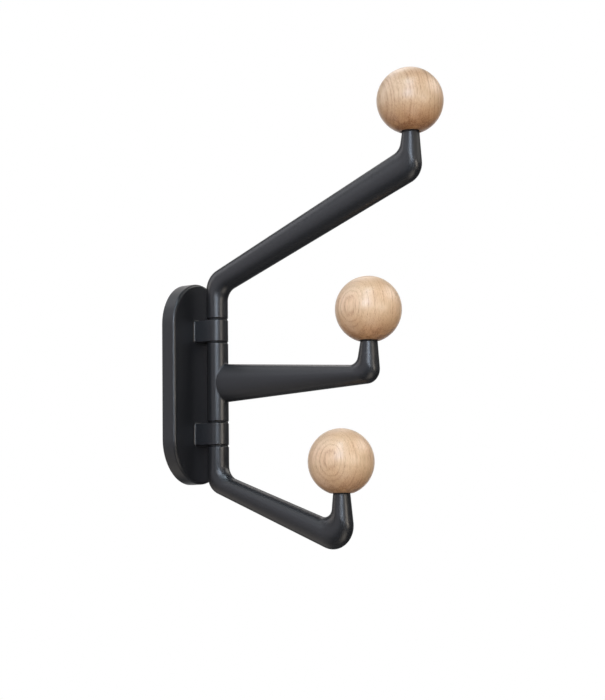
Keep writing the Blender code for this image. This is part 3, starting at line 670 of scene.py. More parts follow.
def oblong(width, height):
    """Outline of an upright oblong with half-round ends."""
    radius = width / 2
    straight = height / 2 - radius
    half = []
    for step in range(OBLONG_STEPS + 1):
        angle = math.pi * step / OBLONG_STEPS
        half.append((radius * math.cos(angle), straight + radius * math.sin(angle)))
    return half + [(-x, -z) for x, z in half]


def plate_rows(plate):
    """Rows of the plate's skin from its back face to its front face."""
    levels = [(plate.rear_chamfer, 0.0), (0.0, plate.rear_chamfer)]
    for sine, cosine in quarter(PLATE_RIM_STEPS):
        inset = plate.edge_radius * (1 - cosine)
        levels.append((inset, plate.thickness - plate.edge_radius * (1 - sine)))
    rows = []
    for inset, depth in levels:
        outline = oblong(plate.width - 2 * inset, plate.height - 2 * inset)
        rows.append([(x, -depth, z) for x, z in outline])
    return rows


def knuckle_stations(sizes):
    """Places along a knuckle from inside the plate to its nose: spot, normal, flare and rim."""
    plate = sizes.plate
    front = -plate.thickness
    fillet = plate.foot_fillet
    stations = [(sizes.barrel, front + plate.front_wall / 2, SIDEWAYS, fillet)]
    for sine, cosine in quarter(FILLET_STEPS):
        flare = fillet * (1 - sine)
        stations.append((sizes.barrel, front - fillet * (1 - cosine) + SKIN_OVERLAP, SIDEWAYS, flare))
    start = front - fillet
    for step in range(1, SIDE_STEPS + 1):
        stations.append((sizes.barrel, start + (sizes.axis.y - start) * step / SIDE_STEPS, SIDEWAYS, 0.0))
    for sine, cosine in list(quarter(NOSE_STEPS))[1:]:
        normal = Vector((cosine, -sine, 0.0))
        stations.append((normal.x * sizes.barrel, sizes.axis.y + normal.y * sizes.barrel, normal, 0.0))
    placed = []
    reach = plate.foot_corner * CORNER_REACH
    for x, y, normal, flare in stations:
        near = min(max((front - y) / reach, 0.0), 1.0)
        ease = near * near * (3 - 2 * near)
        rim = plate.foot_corner + (plate.knuckle_rim - plate.foot_corner) * ease
        placed.append((Vector((x, y, 0.0)), normal, flare, rim))
    return placed


def knuckle_rows(sizes, middle):
    """Closed loops across a knuckle, one for each station."""
    half = sizes.plate.knuckle_height / 2
    rows = []
    for spot, normal, flare, rim in knuckle_stations(sizes):
        right_top = []
        for sine, cosine in quarter(RIM_STEPS):
            place = spot - normal * rim * (1 - cosine) + normal * flare * cosine
            right_top.append((place.x, place.y, half - rim + rim * sine + flare * sine))
        top = right_top + [(-x, y, z) for x, y, z in reversed(right_top)]
        loop = top + [(x, y, -z) for x, y, z in reversed(top)]
        rows.append([(x, y, z + middle) for x, y, z in loop])
    return rows


def rounded_box(name, half_width, half_height, corner, depth, past):
    """A cutter with rounded upright corners, from a depth in front of the wall to behind it."""
    outline = []
    for start, (across, up) in enumerate(((1, 1), (-1, 1), (-1, -1), (1, -1))):
        for step in range(RIM_STEPS + 1):
            angle = math.pi / 2 * (start + step / RIM_STEPS)
            x = across * (half_width - corner) + corner * math.cos(angle)
            z = up * (half_height - corner) + corner * math.sin(angle)
            outline.append((x, z))
    rows = [[(x, y, z) for x, z in outline] for y in (-depth, past)]
    return skin_rows(name, rows)


class HOOK_OT_plate(bpy.types.Operator):
    """Makes the cast back plate with its knuckles, pocket and bores"""

    bl_idname = "hook.plate"
    bl_label = "Back plate"

    def execute(self, context):
        sizes = Sizes(context.scene)
        plate, hinge, fixing = sizes.plate, sizes.hinge, sizes.fixing
        item = skin_rows("plate_casting", plate_rows(plate))
        knuckles = []
        for side, label in ENDS:
            rows = knuckle_rows(sizes, side * plate.knuckle_middle)
            knuckles.append(skin_rows(label + "_knuckle_shell", rows, closed_end=False))
        carve(item, knuckles, "UNION")
        reach = UPRIGHT * plate.height / 2
        pocket = rounded_box(
            "pocket_cut",
            fixing.bracket_width / 2 + hinge.fit,
            fixing.bracket_height / 2 + hinge.fit,
            hinge.fit,
            sizes.pocket_depth,
            plate.thickness,
        )
        cutters = [pocket, cylinder("pivot_cut", sizes.bore, sizes.axis - reach, sizes.axis + reach)]
        radius = fixing.knuckle_screw_diameter / 2 + hinge.fit
        for side, label in ENDS:
            height = UPRIGHT * side * plate.knuckle_middle
            cutters.append(cylinder(label + "_knuckle_cut", radius, height, sizes.axis + height, SMALL_SIDES))
        low = sizes.lock_axis - UPRIGHT * plate.height
        high = sizes.lock_axis - UPRIGHT * fixing.bracket_height / 2
        cutters.append(cylinder("lock_cut", sizes.small_hole, low, high, SMALL_SIDES))
        carve(item, cutters)
        hand_over(item, coat_material(sizes), "back_plate", "mounting")
        return {"FINISHED"}


# Arms


def corner_arc(before, corner, after, radius):
    """Points along the arc that rounds one corner in the plane."""
    to_before = (before - corner).normalized()
    to_after = (after - corner).normalized()
    half = to_before.angle(to_after) / 2
    centre = corner + (to_before + to_after).normalized() * radius / math.sin(half)
    first = corner + to_before * radius / math.tan(half) - centre
    last = corner + to_after * radius / math.tan(half) - centre
    return list(arc_between(centre, first, last, CORNER_STEPS))


def rail(corners, radii):
    """One edge of an arm: evenly stepped straight runs with an arc at each corner."""
    corners = [Vector(corner) for corner in corners]
    spots = [corners[0]]
    for index, radius in enumerate(radii, start=1):
        arc = corner_arc(corners[index - 1], corners[index], corners[index + 1], radius)
        spots += run_to(spots[-1], arc[0]) + arc[1:]
    return spots + run_to(spots[-1], corners[-1])


def run_to(start, end):
    return [start.lerp(end, step / SPAN_STEPS) for step in range(1, SPAN_STEPS + 1)]


def spread_widths(widths):
    """Half widths along a rail: level on each run but the last, blended over each arc."""
    spread = [widths[0]]
    for width, following in zip(widths, widths[1:-1]):
        spread += [width] * SPAN_STEPS
        spread += [width + (following - width) * step / CORNER_STEPS for step in range(1, CORNER_STEPS + 1)]
    last, end = widths[-2], widths[-1]
    return spread + [last + (end - last) * step / SPAN_STEPS for step in range(1, SPAN_STEPS + 1)]


def neck_corners(sizes, shape):
    """The elbow's corner and the neck's end, on the inner and on the outer edge."""
    top = shape.ball_height - sizes.neck_drop
    end = top - sizes.arm.neck_rim
    inner = (shape.reach - sizes.neck - shape.neck_inner_spread, top - shape.neck_inner_drop)
    outer = (shape.reach + sizes.neck + shape.neck_outer_spread, top - shape.neck_outer_drop)
    return [inner, (shape.reach - sizes.neck, end)], [outer, (shape.reach + sizes.neck, end)]


def neck_end(sizes, shape):
    """Profile of a neck's top from its rounded edge into the stud's hole."""
    top = shape.ball_height - sizes.neck_drop
    hole = sizes.stud_hole
    bottom = top - sizes.ball.stud_in_neck - sizes.hinge.fit
    profile = rounded_rim(sizes.neck, top, sizes.arm.neck_rim, 1)[::-1][1:]
    profile += [(hole + sizes.arm.neck_rim / 2, top), (hole, top - sizes.arm.neck_rim / 2)]
    return profile + [(hole, bottom), (0.0, bottom)]


def foot_end(sizes, outward):
    """Profile of an end arm's foot from the blind end of its bore to its rounded rim."""
    hinge = sizes.hinge
    foot = outward * sizes.foot
    blind = outward * (sizes.rod_end + hinge.fit)
    floor = foot + outward * (hinge.bush_length + hinge.fit)
    profile = [(0.0, blind), (sizes.bore, blind), (sizes.bore, floor), (sizes.seat, floor)]
    profile += [(sizes.seat, foot + outward * hinge.fit), (sizes.seat + hinge.fit, foot)]
    return profile + rounded_rim(sizes.barrel, foot, hinge.barrel_rim, -outward)


def make_end_arm(sizes, label, outward, shape):
    """Skins an end arm between its front and back edges and cuts its set screw's hole."""
    start = outward * (sizes.foot + sizes.hinge.barrel_rim)
    inner_neck, outer_neck = neck_corners(sizes, shape)
    inner, outer = (inner_neck, shape.elbow_inner_radius), (outer_neck, shape.elbow_outer_radius)
    (front_neck, front_elbow), (back_neck, back_elbow) = (outer, inner) if outward > 0 else (inner, outer)
    front_bend = (sizes.barrel, outward * (sizes.foot + shape.bend_inner_run))
    back_bend = (-sizes.barrel, outward * (sizes.foot + shape.bend_outer_run))
    front = rail([(sizes.barrel, start), front_bend, *front_neck], (shape.bend_inner_radius, front_elbow))
    back = rail([(-sizes.barrel, start), back_bend, *back_neck], (shape.bend_outer_radius, back_elbow))
    high, low = (back, front) if outward > 0 else (front, back)

    def level(middle, radius, height):
        """A round ring that starts on its wall side, or opposite it where the radius is negative."""
        return sizes.at(middle - radius, height), sizes.at(middle + radius, height), abs(radius)

    widths = spread_widths([sizes.barrel, sizes.arm.width / 2, sizes.arm.width / 2, sizes.neck])
    rings = [level(0.0, outward * radius, height) for radius, height in foot_end(sizes, outward)[:-1]]
    rings += [(sizes.at(*upper), sizes.at(*lower), width) for upper, lower, width in zip(high, low, widths)]
    rings += [level(shape.reach, radius, height) for radius, height in neck_end(sizes, shape)]
    coat = coat_material(sizes)
    item = skin_rings(label + "_arm_casting", rings, sizes.arm.sides, coat)
    height = outward * (sizes.foot + sizes.screw_rise)
    inside, outside = sizes.at(0.0, height), sizes.at(-sizes.hinge.barrel_diameter, height)
    carve(item, [cylinder(label + "_screw_cut", sizes.small_hole, inside, outside, SMALL_SIDES)])
    hand_over(item, coat, label + "_arm", label + "_swivel")


class HOOK_OT_upper_arm(bpy.types.Operator):
    """Makes the upper arm, which rises from its bend"""

    bl_idname = "hook.upper_arm"
    bl_label = "Upper arm"

    def execute(self, context):
        sizes = Sizes(context.scene)
        make_end_arm(sizes, "upper", 1, sizes.upper)
        return {"FINISHED"}


class HOOK_OT_lower_arm(bpy.types.Operator):
    """Makes the lower arm, which slopes down from its bend"""

    bl_idname = "hook.lower_arm"
    bl_label = "Lower arm"

    def execute(self, context):
        sizes = Sizes(context.scene)
        make_end_arm(sizes, "lower", -1, sizes.lower)
        return {"FINISHED"}


def ring_spot(ring, angle):
    """A point of an arm's oval ring: (across, reach, height)."""
    first, second, width = ring
    middle = (first + second) / 2
    half = (first - second) / 2
    flat = middle + half * math.cos(angle)
    return Vector((width * math.sin(angle), flat.x, flat.y))


def root_column(first, last, angle, barrel, fillet):
    """One column of the middle arm's skin: its hollow fillet on the barrel and the share it starts at."""
    start, end = ring_spot(first, angle), ring_spot(last, angle)
    step = math.radians(1.0)
    along = (end - start).normalized()

    def ball_centre(part):
        spot = start.lerp(end, part)
        ahead = ring_spot(first, angle + step).lerp(ring_spot(last, angle + step), part)
        behind = ring_spot(first, angle - step).lerp(ring_spot(last, angle - step), part)
        normal = (ahead - behind).cross(along).normalized()
        middle = ring_spot(first, 0.0).lerp(ring_spot(first, math.pi), 0.5)
        if normal.dot(Vector((spot.x, 0.0, spot.z - middle.z))) < 0:
            normal.negate()
        return spot, spot + normal * fillet

    low, high = 0.0, 0.5
    for _ in range(HALVINGS):
        part = (low + high) / 2
        spot, centre = ball_centre(part)
        if math.hypot(centre.x, centre.y) < barrel + fillet:
            low = part
        else:
            high = part
    pull = barrel / (barrel + fillet)
    touch = Vector((centre.x * pull, centre.y * pull, centre.z))
    return list(arc_between(centre, touch - centre, spot - centre, ROOT_FILLET_STEPS)), part


def barrel_edge(index, sides, round_steps, rise):
    """Where a column of the barrel's skin ends: (turn about the axis, height)."""
    quadrant = sides // 4
    mirror = index > sides // 2
    index = sides - index if mirror else index
    below = index > quadrant
    index = sides // 2 - index if below else index
    if index <= round_steps:
        turn, height = math.pi * index / round_steps, rise
    else:
        turn, height = math.pi, rise * (1 - (index - round_steps) / (quadrant - round_steps))
    return (-turn if mirror else turn), (-height if below else height)


class HOOK_OT_middle_arm(bpy.types.Operator):
    """Makes the middle arm, which grows out of its barrel with a hollow fillet"""

    bl_idname = "hook.middle_arm"
    bl_label = "Middle arm"

    def execute(self, context):
        sizes = Sizes(context.scene)
        shape, hinge = sizes.middle, sizes.hinge
        inner_neck, outer_neck = neck_corners(sizes, shape)
        high = rail([(0.0, shape.root_top), *inner_neck], [shape.elbow_inner_radius])
        low = rail([(0.0, shape.root_bottom), *outer_neck], [shape.elbow_outer_radius])
        widths = spread_widths([sizes.arm.width / 2, sizes.arm.width / 2, sizes.neck])
        rings = list(zip(high, low, widths))
        for radius, height in neck_end(sizes, shape):
            inner = Vector((shape.reach - radius, height))
            outer = Vector((shape.reach + radius, height))
            rings.append((inner, outer, radius))

        # Two thirds of the columns end on the barrel's rims, the others on the line up its back
        sides = sizes.arm.sides * 2
        round_steps = sides // 6
        rise = sizes.middle_end - hinge.barrel_rim
        shares = [step / ROOT_RUN_STEPS for step in range(1, ROOT_RUN_STEPS + 1)]
        columns = []
        for index in range(sides + 1):
            angle = 2 * math.pi * index / sides
            fillet = sizes.arm.root_fillet
            root, part = root_column(rings[0], rings[SPAN_STEPS], angle, sizes.barrel, fillet)
            start, end = ring_spot(rings[0], angle), ring_spot(rings[SPAN_STEPS], angle)
            edge = barrel_edge(index, sides, round_steps, rise)
            column = barrel_column(sizes.barrel, root[0], edge)
            column += root[1:]
            column += [start.lerp(end, part + (1 - part) * share) for share in shares]
            column += [ring_spot(ring, angle) for ring in rings[SPAN_STEPS + 1 :]]
            columns.append([sizes.at(spot.y, spot.z, spot.x) for spot in column])
        bm = bmesh.new()
        add_rows(bm, columns, closed=False)
        add_rows(bm, barrel_lining(sizes, round_steps))
        item = piece_from("middle_arm_casting", bm)
        mend(item)
        hand_over(item, coat_material(sizes), "middle_arm", "middle_swivel")
        return {"FINISHED"}


def barrel_column(radius, touch, edge):
    """A column over the barrel's wall, from its edge to where the arm's fillet touches it."""
    turn, height = edge
    inner_turn = math.atan2(touch.x, touch.y)
    if turn < 0 < inner_turn or inner_turn < 0 < turn:
        inner_turn = 0.0
    column = []
    for step in range(BARREL_STEPS + 1):
        mix = step / BARREL_STEPS
        angle = turn + (inner_turn - turn) * mix
        rise = height + (touch.z - height) * mix
        column.append(Vector((radius * math.sin(angle), radius * math.cos(angle), rise)))
    return column


def barrel_lining(sizes, round_steps):
    """Rows over the middle barrel's rims, bush seats and bore."""
    hinge = sizes.hinge
    end = sizes.middle_end
    floor = end - hinge.bush_length - hinge.fit
    top = rounded_rim(sizes.barrel, end, hinge.barrel_rim, 1)[::-1]
    top += [(sizes.seat + hinge.fit, end), (sizes.seat, end - hinge.fit)]
    top += [(sizes.seat, floor), (sizes.bore, floor)]
    profile = top + [(radius, -height) for radius, height in reversed(top)]
    rows = []
    for radius, height in profile:
        row = []
        for step in range(2 * round_steps):
            angle = math.pi * step / round_steps
            row.append(sizes.at(radius * math.cos(angle), height, radius * math.sin(angle)))
        rows.append(row)
    return rows


# Bushes, rod, screws and bracket


class HOOK_OT_bushes(bpy.types.Operator):
    """Makes the flanged nylon bushes"""

    bl_idname = "hook.bushes"
    bl_label = "Bushes"

    def execute(self, context):
        sizes = Sizes(context.scene)
        nylon = nylon_material(sizes)
        self.bush(sizes, nylon, "upper_arm_bush", sizes.foot, -1, "upper_swivel")
        self.bush(sizes, nylon, "middle_arm_upper_bush", sizes.middle_end, 1, "middle_swivel")
        self.bush(sizes, nylon, "middle_arm_lower_bush", -sizes.middle_end, -1, "middle_swivel")
        self.bush(sizes, nylon, "lower_arm_bush", -sizes.foot, 1, "lower_swivel")
        return {"FINISHED"}

    @staticmethod
    def bush(sizes, nylon, node, face, outward, body):
        hinge = sizes.hinge
        flange = sizes.barrel - hinge.bush_inset
        top = hinge.axial_play + hinge.bush_flange
        soft = hinge.axial_play / 2
        profile = [
            (sizes.bore, top - soft),
            (sizes.bore + soft, top),
            (flange - soft, top),
            (flange, top - soft),
            (flange, hinge.axial_play + soft),
            (flange - soft, hinge.axial_play),
            (sizes.bush, hinge.axial_play),
            (sizes.bush, soft - hinge.bush_length),
            (sizes.bush - soft, -hinge.bush_length),
            (sizes.bore + soft, -hinge.bush_length),
            (sizes.bore, soft - hinge.bush_length),
        ]
        profile.append(profile[0])
        profile = [(radius, outward * height) for radius, height in profile]
        item = turned(node + "_turned", profile, nylon, sizes.axis + UPRIGHT * face)
        hand_over(item, nylon, node, body)


def thread(item, pitch, depth, low, high, radius, material):
    """Cuts a thread into a turned piece that stands on the origin."""
    values = {"Pitch": pitch, "Depth": pitch * depth, "Low": low, "High": high}
    values.update({"Core": radius * CORE_SHARE, "Material": material})
    run_tree(item, "helical_thread", make_thread, values)


def fine_run(radius, start, end, pitch):
    """Profile points close enough together to carry a thread."""
    steps = max(2, round(abs(end - start) / pitch * STEPS_PER_PITCH))
    return [(radius, start + (end - start) * step / steps) for step in range(steps + 1)]


def set_screw(sizes, node, body, thread_size, length, tip, direction):
    """A threaded set screw with a dog point and a hexagon socket, from its diameter and pitch."""
    fixing = sizes.fixing
    steel = steel_material(sizes)
    diameter, pitch = thread_size
    radius = diameter / 2
    point = radius * fixing.point_share
    step = radius - point
    wall = fine_run(radius, -pitch / 2, 2 * step - length, pitch)
    profile = [(0.0, 0.0), (radius - pitch / 2, 0.0), *wall, (point, step - length), (point, -length)]
    profile.append((0.0, -length))
    item = turned(node + "_turned", profile, steel, sides=SMALL_SIDES)
    thread(item, pitch, THREAD_DEPTH, 2 * step - length, -pitch / 2, radius, steel)
    deep = UPRIGHT * diameter * fixing.socket_depth_share
    carve(item, [cylinder(node + "_socket", diameter * fixing.socket_share / 2, -deep, deep, SOCKET_SIDES)])
    turn = (-UPRIGHT).rotation_difference(direction).to_matrix().to_4x4()
    item.data.transform(Matrix.Translation(tip - direction * length) @ turn)
    hand_over(item, steel, node, body, THREAD_CREASE)


class HOOK_OT_fixings(bpy.types.Operator):
    """Makes the pivot rod, the set screws and the wall bracket"""

    bl_idname = "hook.fixings"
    bl_label = "Rod, screws and bracket"

    def execute(self, context):
        sizes = Sizes(context.scene)
        self.rod(sizes)
        self.screws(sizes)
        self.bracket(sizes)
        return {"FINISHED"}

    @staticmethod
    def rod(sizes):
        hinge = sizes.hinge
        end, chamfer = sizes.rod_end, hinge.rod_chamfer
        outer = sizes.foot + sizes.screw_rise
        inner = sizes.plate.knuckle_middle
        profile = [(0.0, end), (sizes.rod - chamfer, end), (sizes.rod, end - chamfer)]
        for height in (outer, inner, -inner, -outer):
            top, bottom = height + hinge.groove_width / 2, height - hinge.groove_width / 2
            profile += [(sizes.rod, top), (sizes.groove, top - hinge.groove_depth)]
            profile += [(sizes.groove, bottom + hinge.groove_depth), (sizes.rod, bottom)]
        profile += [(sizes.rod, chamfer - end), (sizes.rod - chamfer, -end), (0.0, -end)]
        steel = steel_material(sizes)
        item = turned("pivot_rod_turned", profile, steel, sizes.axis)
        hand_over(item, steel, "pivot_rod", "mounting")

    @staticmethod
    def screws(sizes):
        fixing, hinge = sizes.fixing, sizes.hinge
        forward = Vector((0.0, -1.0, 0.0))
        groove = sizes.axis - forward * (sizes.groove + hinge.fit)
        large = (fixing.knuckle_screw_diameter, fixing.knuckle_screw_pitch)
        small = (fixing.arm_screw_diameter, fixing.arm_screw_pitch)
        for side, label in ENDS:
            tip = groove + UPRIGHT * side * sizes.plate.knuckle_middle
            node = label + "_knuckle_screw"
            set_screw(sizes, node, "mounting", large, fixing.knuckle_screw_length, tip, forward)
            tip = groove + UPRIGHT * side * (sizes.foot + sizes.screw_rise)
            node = label + "_arm_screw"
            set_screw(sizes, node, label + "_swivel", small, fixing.arm_screw_length, tip, forward)
        tip = sizes.lock_axis - UPRIGHT * (fixing.bracket_height / 2 - fixing.bracket_gauge)
        set_screw(sizes, "plate_lock_screw", "mounting", small, fixing.lock_screw_length, tip, UPRIGHT)

    @staticmethod
    def bracket(sizes):
        fixing, hinge = sizes.fixing, sizes.hinge
        steel = steel_material(sizes)
        skin = fixing.bracket_gauge / 2
        end = fixing.bracket_height / 2
        tab = sizes.pocket_depth - hinge.fit
        path = [(-tab, end - skin), (-skin, end - skin), (-skin, skin - end), (-tab, skin - end)]
        mesh = bpy.data.meshes.new("wall_bracket_path")
        mesh.from_pydata([(0.0, y, z) for y, z in path], [(0, 1), (1, 2), (2, 3)], [])
        item = link_piece("wall_bracket_bent", mesh)
        values = {
            "Width": fixing.bracket_width,
            "Gauge": fixing.bracket_gauge,
            "Bend": fixing.bracket_bend + skin,
            "Material": steel,
        }
        run_tree(item, "bent_strip", make_bent_strip, values)
        mend(item)
        through = Vector((0.0, 2 * fixing.bracket_gauge, 0.0))
        cutters = []
        radius = fixing.bracket_hole_diameter / 2
        for side, label in ENDS:
            spot = UPRIGHT * side * fixing.bracket_hole_spacing / 2
            cutters.append(cylinder(label + "_hole_cut", radius, spot - through, spot + through))
        low = sizes.lock_axis - UPRIGHT * (end + fixing.bracket_gauge)
        high = sizes.lock_axis - UPRIGHT * (end - 2 * fixing.bracket_gauge)
        cutters.append(cylinder("tab_cut", sizes.small_hole, low, high, SMALL_SIDES))
        carve(item, cutters)
        bevel = item.modifiers.new("edges", "BEVEL")
        bevel.width = hinge.fit / 2
        bevel.segments = BEVEL_STEPS
        bevel.limit_method = "ANGLE"
        bevel.angle_limit = math.radians(BEVEL_ANGLE)
        settle(item)
        hand_over(item, steel, "wall_bracket", "mounting")


# Balls


def ball_profile(sizes):
    """Profile of a ball from its top pole, round its flat and recess, to its blind hole."""
    ball = sizes.ball
    flat = ball.flat_diameter / 2
    recess = ball.recess_diameter / 2
    soft = ball.edge_radius / 2
    hole = ball.insert_diameter / 2 + sizes.hinge.fit
    blind = ball.insert_length + 2 * sizes.hinge.fit - sizes.recess_floor
    rim = math.asin((flat + ball.edge_radius) / sizes.ball_radius)
    profile = []
    for step in range(BALL_STEPS + 1):
        angle = (math.pi - rim) * step / BALL_STEPS
        profile.append((sizes.ball_radius * math.sin(angle), sizes.ball_radius * math.cos(angle)))
    edge = Vector(profile[-1])
    corner = Vector((flat, -sizes.flat_drop))
    inner = Vector((flat - ball.edge_radius, -sizes.flat_drop))
    for step in range(1, BALL_EDGE_STEPS + 1):
        mix = step / BALL_EDGE_STEPS
        spot = edge.lerp(corner, mix).lerp(corner.lerp(inner, mix), mix)
        profile.append((spot.x, spot.y))
    profile += [(recess + soft, -sizes.flat_drop), (recess, soft - sizes.flat_drop)]
    profile += [(recess, -sizes.recess_floor), (hole, -sizes.recess_floor), (hole, blind), (0.0, blind)]
    return profile


class HOOK_OT_balls(bpy.types.Operator):
    """Makes the oak balls with their washers, inserts and studs"""

    bl_idname = "hook.balls"
    bl_label = "Oak balls"

    def execute(self, context):
        sizes = Sizes(context.scene)
        for label, shape in (("upper", sizes.upper), ("middle", sizes.middle), ("lower", sizes.lower)):
            centre = sizes.at(shape.reach, shape.ball_height)
            body = label + "_swivel"
            oak = oak_material(sizes, label, centre)
            item = turned(label + "_ball_turned", ball_profile(sizes), oak, centre, sizes.ball.sides)
            hand_over(item, oak, label + "_ball", body)
            self.washer(sizes, label, centre, body)
            self.insert(sizes, label, centre, body)
            self.stud(sizes, label, centre, body)
        return {"FINISHED"}

    @staticmethod
    def washer(sizes, label, centre, body):
        ball = sizes.ball
        nylon = nylon_material(sizes)
        bore = sizes.stud_hole
        rim = ball.washer_diameter / 2
        soft = sizes.hinge.axial_play / 2
        high = ball.washer_thickness
        profile = [(bore, high), (rim - soft, high), (rim, high - soft), (rim, soft), (rim - soft, 0.0)]
        profile += [(bore, 0.0), (bore, high)]
        item = turned(label + "_washer_turned", profile, nylon, centre - UPRIGHT * sizes.neck_drop)
        hand_over(item, nylon, label + "_washer", body)

    @staticmethod
    def insert(sizes, label, centre, body):
        ball = sizes.ball
        brass = brass_material(sizes)
        bore = sizes.stud_hole
        rim = ball.insert_diameter / 2
        high, chamfer, pitch = ball.insert_length, ball.insert_chamfer, ball.insert_pitch
        profile = [(bore, high), (rim - chamfer, high), *fine_run(rim, high - chamfer, 0.0, pitch)]
        profile += [(bore, 0.0), (bore, high)]
        item = turned(label + "_insert_turned", profile, brass, sides=SMALL_SIDES)
        thread(item, pitch, RIB_DEPTH, 0.0, high - chamfer, rim, brass)
        item.data.transform(Matrix.Translation(centre + UPRIGHT * (sizes.hinge.fit - sizes.recess_floor)))
        hand_over(item, brass, label + "_insert", body, THREAD_CREASE)

    @staticmethod
    def stud(sizes, label, centre, body):
        ball = sizes.ball
        steel = steel_material(sizes)
        radius, chamfer, pitch = ball.stud_diameter / 2, ball.stud_chamfer, ball.stud_pitch
        high, low = ball.stud_in_ball, -ball.stud_in_neck
        profile = [(0.0, high), (radius - chamfer, high)]
        profile += fine_run(radius, high - chamfer, low + chamfer, pitch)
        profile += [(radius - chamfer, low), (0.0, low)]
        item = turned(label + "_stud_turned", profile, steel, sides=SMALL_SIDES)
        thread(item, pitch, THREAD_DEPTH, low + chamfer, high - chamfer, radius, steel)
        item.data.transform(Matrix.Translation(centre - UPRIGHT * sizes.neck_drop))
        hand_over(item, steel, label + "_stud", body, THREAD_CREASE)


# Materials

# Patterns per metre in the powder coat's roughness, in nylon and in the pale floor
COAT_CLOUD = 60.0
NYLON_GRAIN = 4000.0
FLOOR_MOTTLE = 3.0

# Roughness of the bare metals, and tool marks per metre
STEEL_MARKS = (0.28, 1800.0)
BRASS_MARKS = (0.25, 1500.0)


def new_material(name):
    """A material, its tree and its Principled shader."""
    material = bpy.data.materials.new(name)
    material.use_nodes = True
    tree = material.node_tree
    return material, tree, tree.nodes["Principled BSDF"]


def object_spot(tree, location=(0.0, 0.0, 0.0), turn=(0.0, 0.0, 0.0), scale=(1.0, 1.0, 1.0)):
    """Object coordinates, moved so that a place of the piece is their origin, then turned and scaled."""
    spot = field(tree, "ShaderNodeTexCoord", output="Object")
    moved = field(tree, "ShaderNodeMapping", {"Vector": spot, "Location": [-part for part in location]})
    return field(tree, "ShaderNodeMapping", {"Vector": moved, "Rotation": turn, "Scale": scale})


def noise(spot, scale, detail, roughness):
    inputs = {"Vector": spot, "Scale": scale, "Detail": detail, "Roughness": roughness}
    return field(spot.tree, "ShaderNodeTexNoise", inputs, "Fac")


def remap(value, low, high, new_low=0.0, new_high=1.0):
    inputs = {"Value": value, "From Min": low, "From Max": high, "To Min": new_low, "To Max": new_high}
    return field(value.tree, "ShaderNodeMapRange", inputs)


def blend(amount, first, second):
    """A mix of two colours, each a field or three plain parts."""
    first, second = (part if isinstance(part, Field) else (*part, 1.0) for part in (first, second))
    return field(amount.tree, "ShaderNodeMix", {0: amount, 6: first, 7: second}, 2, data_type="RGBA")


def bump(height, distance, strength):
    inputs = {"Height": height, "Distance": distance, "Strength": strength}
    return field(height.tree, "ShaderNodeBump", inputs)


def toned(plain, tone, tint=(1.0, 1.0, 1.0)):
    """A plain colour made lighter or darker, and tinted."""
    return [part * tone * share for part, share in zip(plain, tint)]


def coat_material(sizes):
    return found_or_made(bpy.data.materials, "powder_coat", make_coat, sizes.finish)


def make_coat(name, finish):
    """Dark grey satin powder coat with a fine, slightly pebbled surface."""
    material, tree, shader = new_material(name)
    grain = noise(object_spot(tree), 1.0 / finish.coat_grain, 2.0, 0.5)
    cloud = noise(object_spot(tree), COAT_CLOUD, 3.0, 0.5)
    tint = blend(remap(grain, 0.35, 0.75), finish.coat, toned(finish.coat, 1.35))
    rough = cloud * 0.04 + (finish.coat_roughness - 0.02)
    pebbles = bump(grain, finish.coat_grain * 0.05, 0.12)
    fill(shader, {"Base Color": tint, "Roughness": rough, "Normal": pebbles})
    return material


# How each ball was cut from its plank: azimuth of the rings' normal, lean and sway of the grain,
# how dark the wood gets towards the bottom and in the stained end grain under the ball, the wood's tone, and
# how strongly its rings are marked
CUTS = {
    "upper": (-62.0, 0.10, 0.0030, 1.0, 0.91, 1.3),
    "middle": (174.0, -0.06, 0.0050, 0.85, 0.99, 0.75),
    "lower": (-170.0, 0.04, 0.0050, 0.7, 1.02, 0.75),
}

# The pith's distance from a ball's middle, the waves in the rings, and the tint of the pink patches
PITH_AWAY = 0.045
RIPPLE = 0.0008
OAK_PINK = (1.03, 0.94, 0.93)

# How unevenly the rings are spaced and in what rhythm, where in a ring the dark early wood is darkest
# and where it ends, and how dark the faintest ring is
RING_UNEVENNESS = 0.22
RING_RHYTHM = 2.1
EARLY_PEAK = 0.16
EARLY_END = 0.50
FAINTEST_RING = 0.35

# Patterns in the oak: scale across the grain, share of it along the grain, detail, roughness
OAK_PATTERNS = {
    "sway": (62.0, 0.32, 2.0, 0.45),
    "ripple": (420.0, 0.20, 2.0, 0.5),
    "fibre": (2400.0, 0.06, 3.0, 0.6),
    "vessel": (2300.0, 0.13, 1.0, 0.5),
    "broken": (900.0, 0.10, 2.0, 0.6),
    "patch": (80.0, 1.0, 2.0, 0.5),
    "blot": (190.0, 1.0, 3.0, 0.6),
}


def year_lines(spot, sway, ripple, spacing):
    """How dark each place is as early wood of its year ring, in rings round the pith beside the ball."""
    x, y, _ = spot.parts()
    distance = field(spot.tree, "ShaderNodeCombineXYZ", {"X": PITH_AWAY - x, "Y": y}).length()
    year = (distance + sway + ripple) / spacing
    year = year + (year * RING_RHYTHM).math("SINE") * RING_UNEVENNESS
    ring = year.math("FRACT")
    number = {"W": year.math("FLOOR")}
    luck = field(spot.tree, "ShaderNodeTexWhiteNoise", number, "Value", noise_dimensions="1D")
    early = remap(ring, 0.0, EARLY_PEAK) * remap(ring, EARLY_PEAK, EARLY_END, 1.0, 0.0)
    return early * remap(luck, 0.0, 1.0, FAINTEST_RING, 1.0)


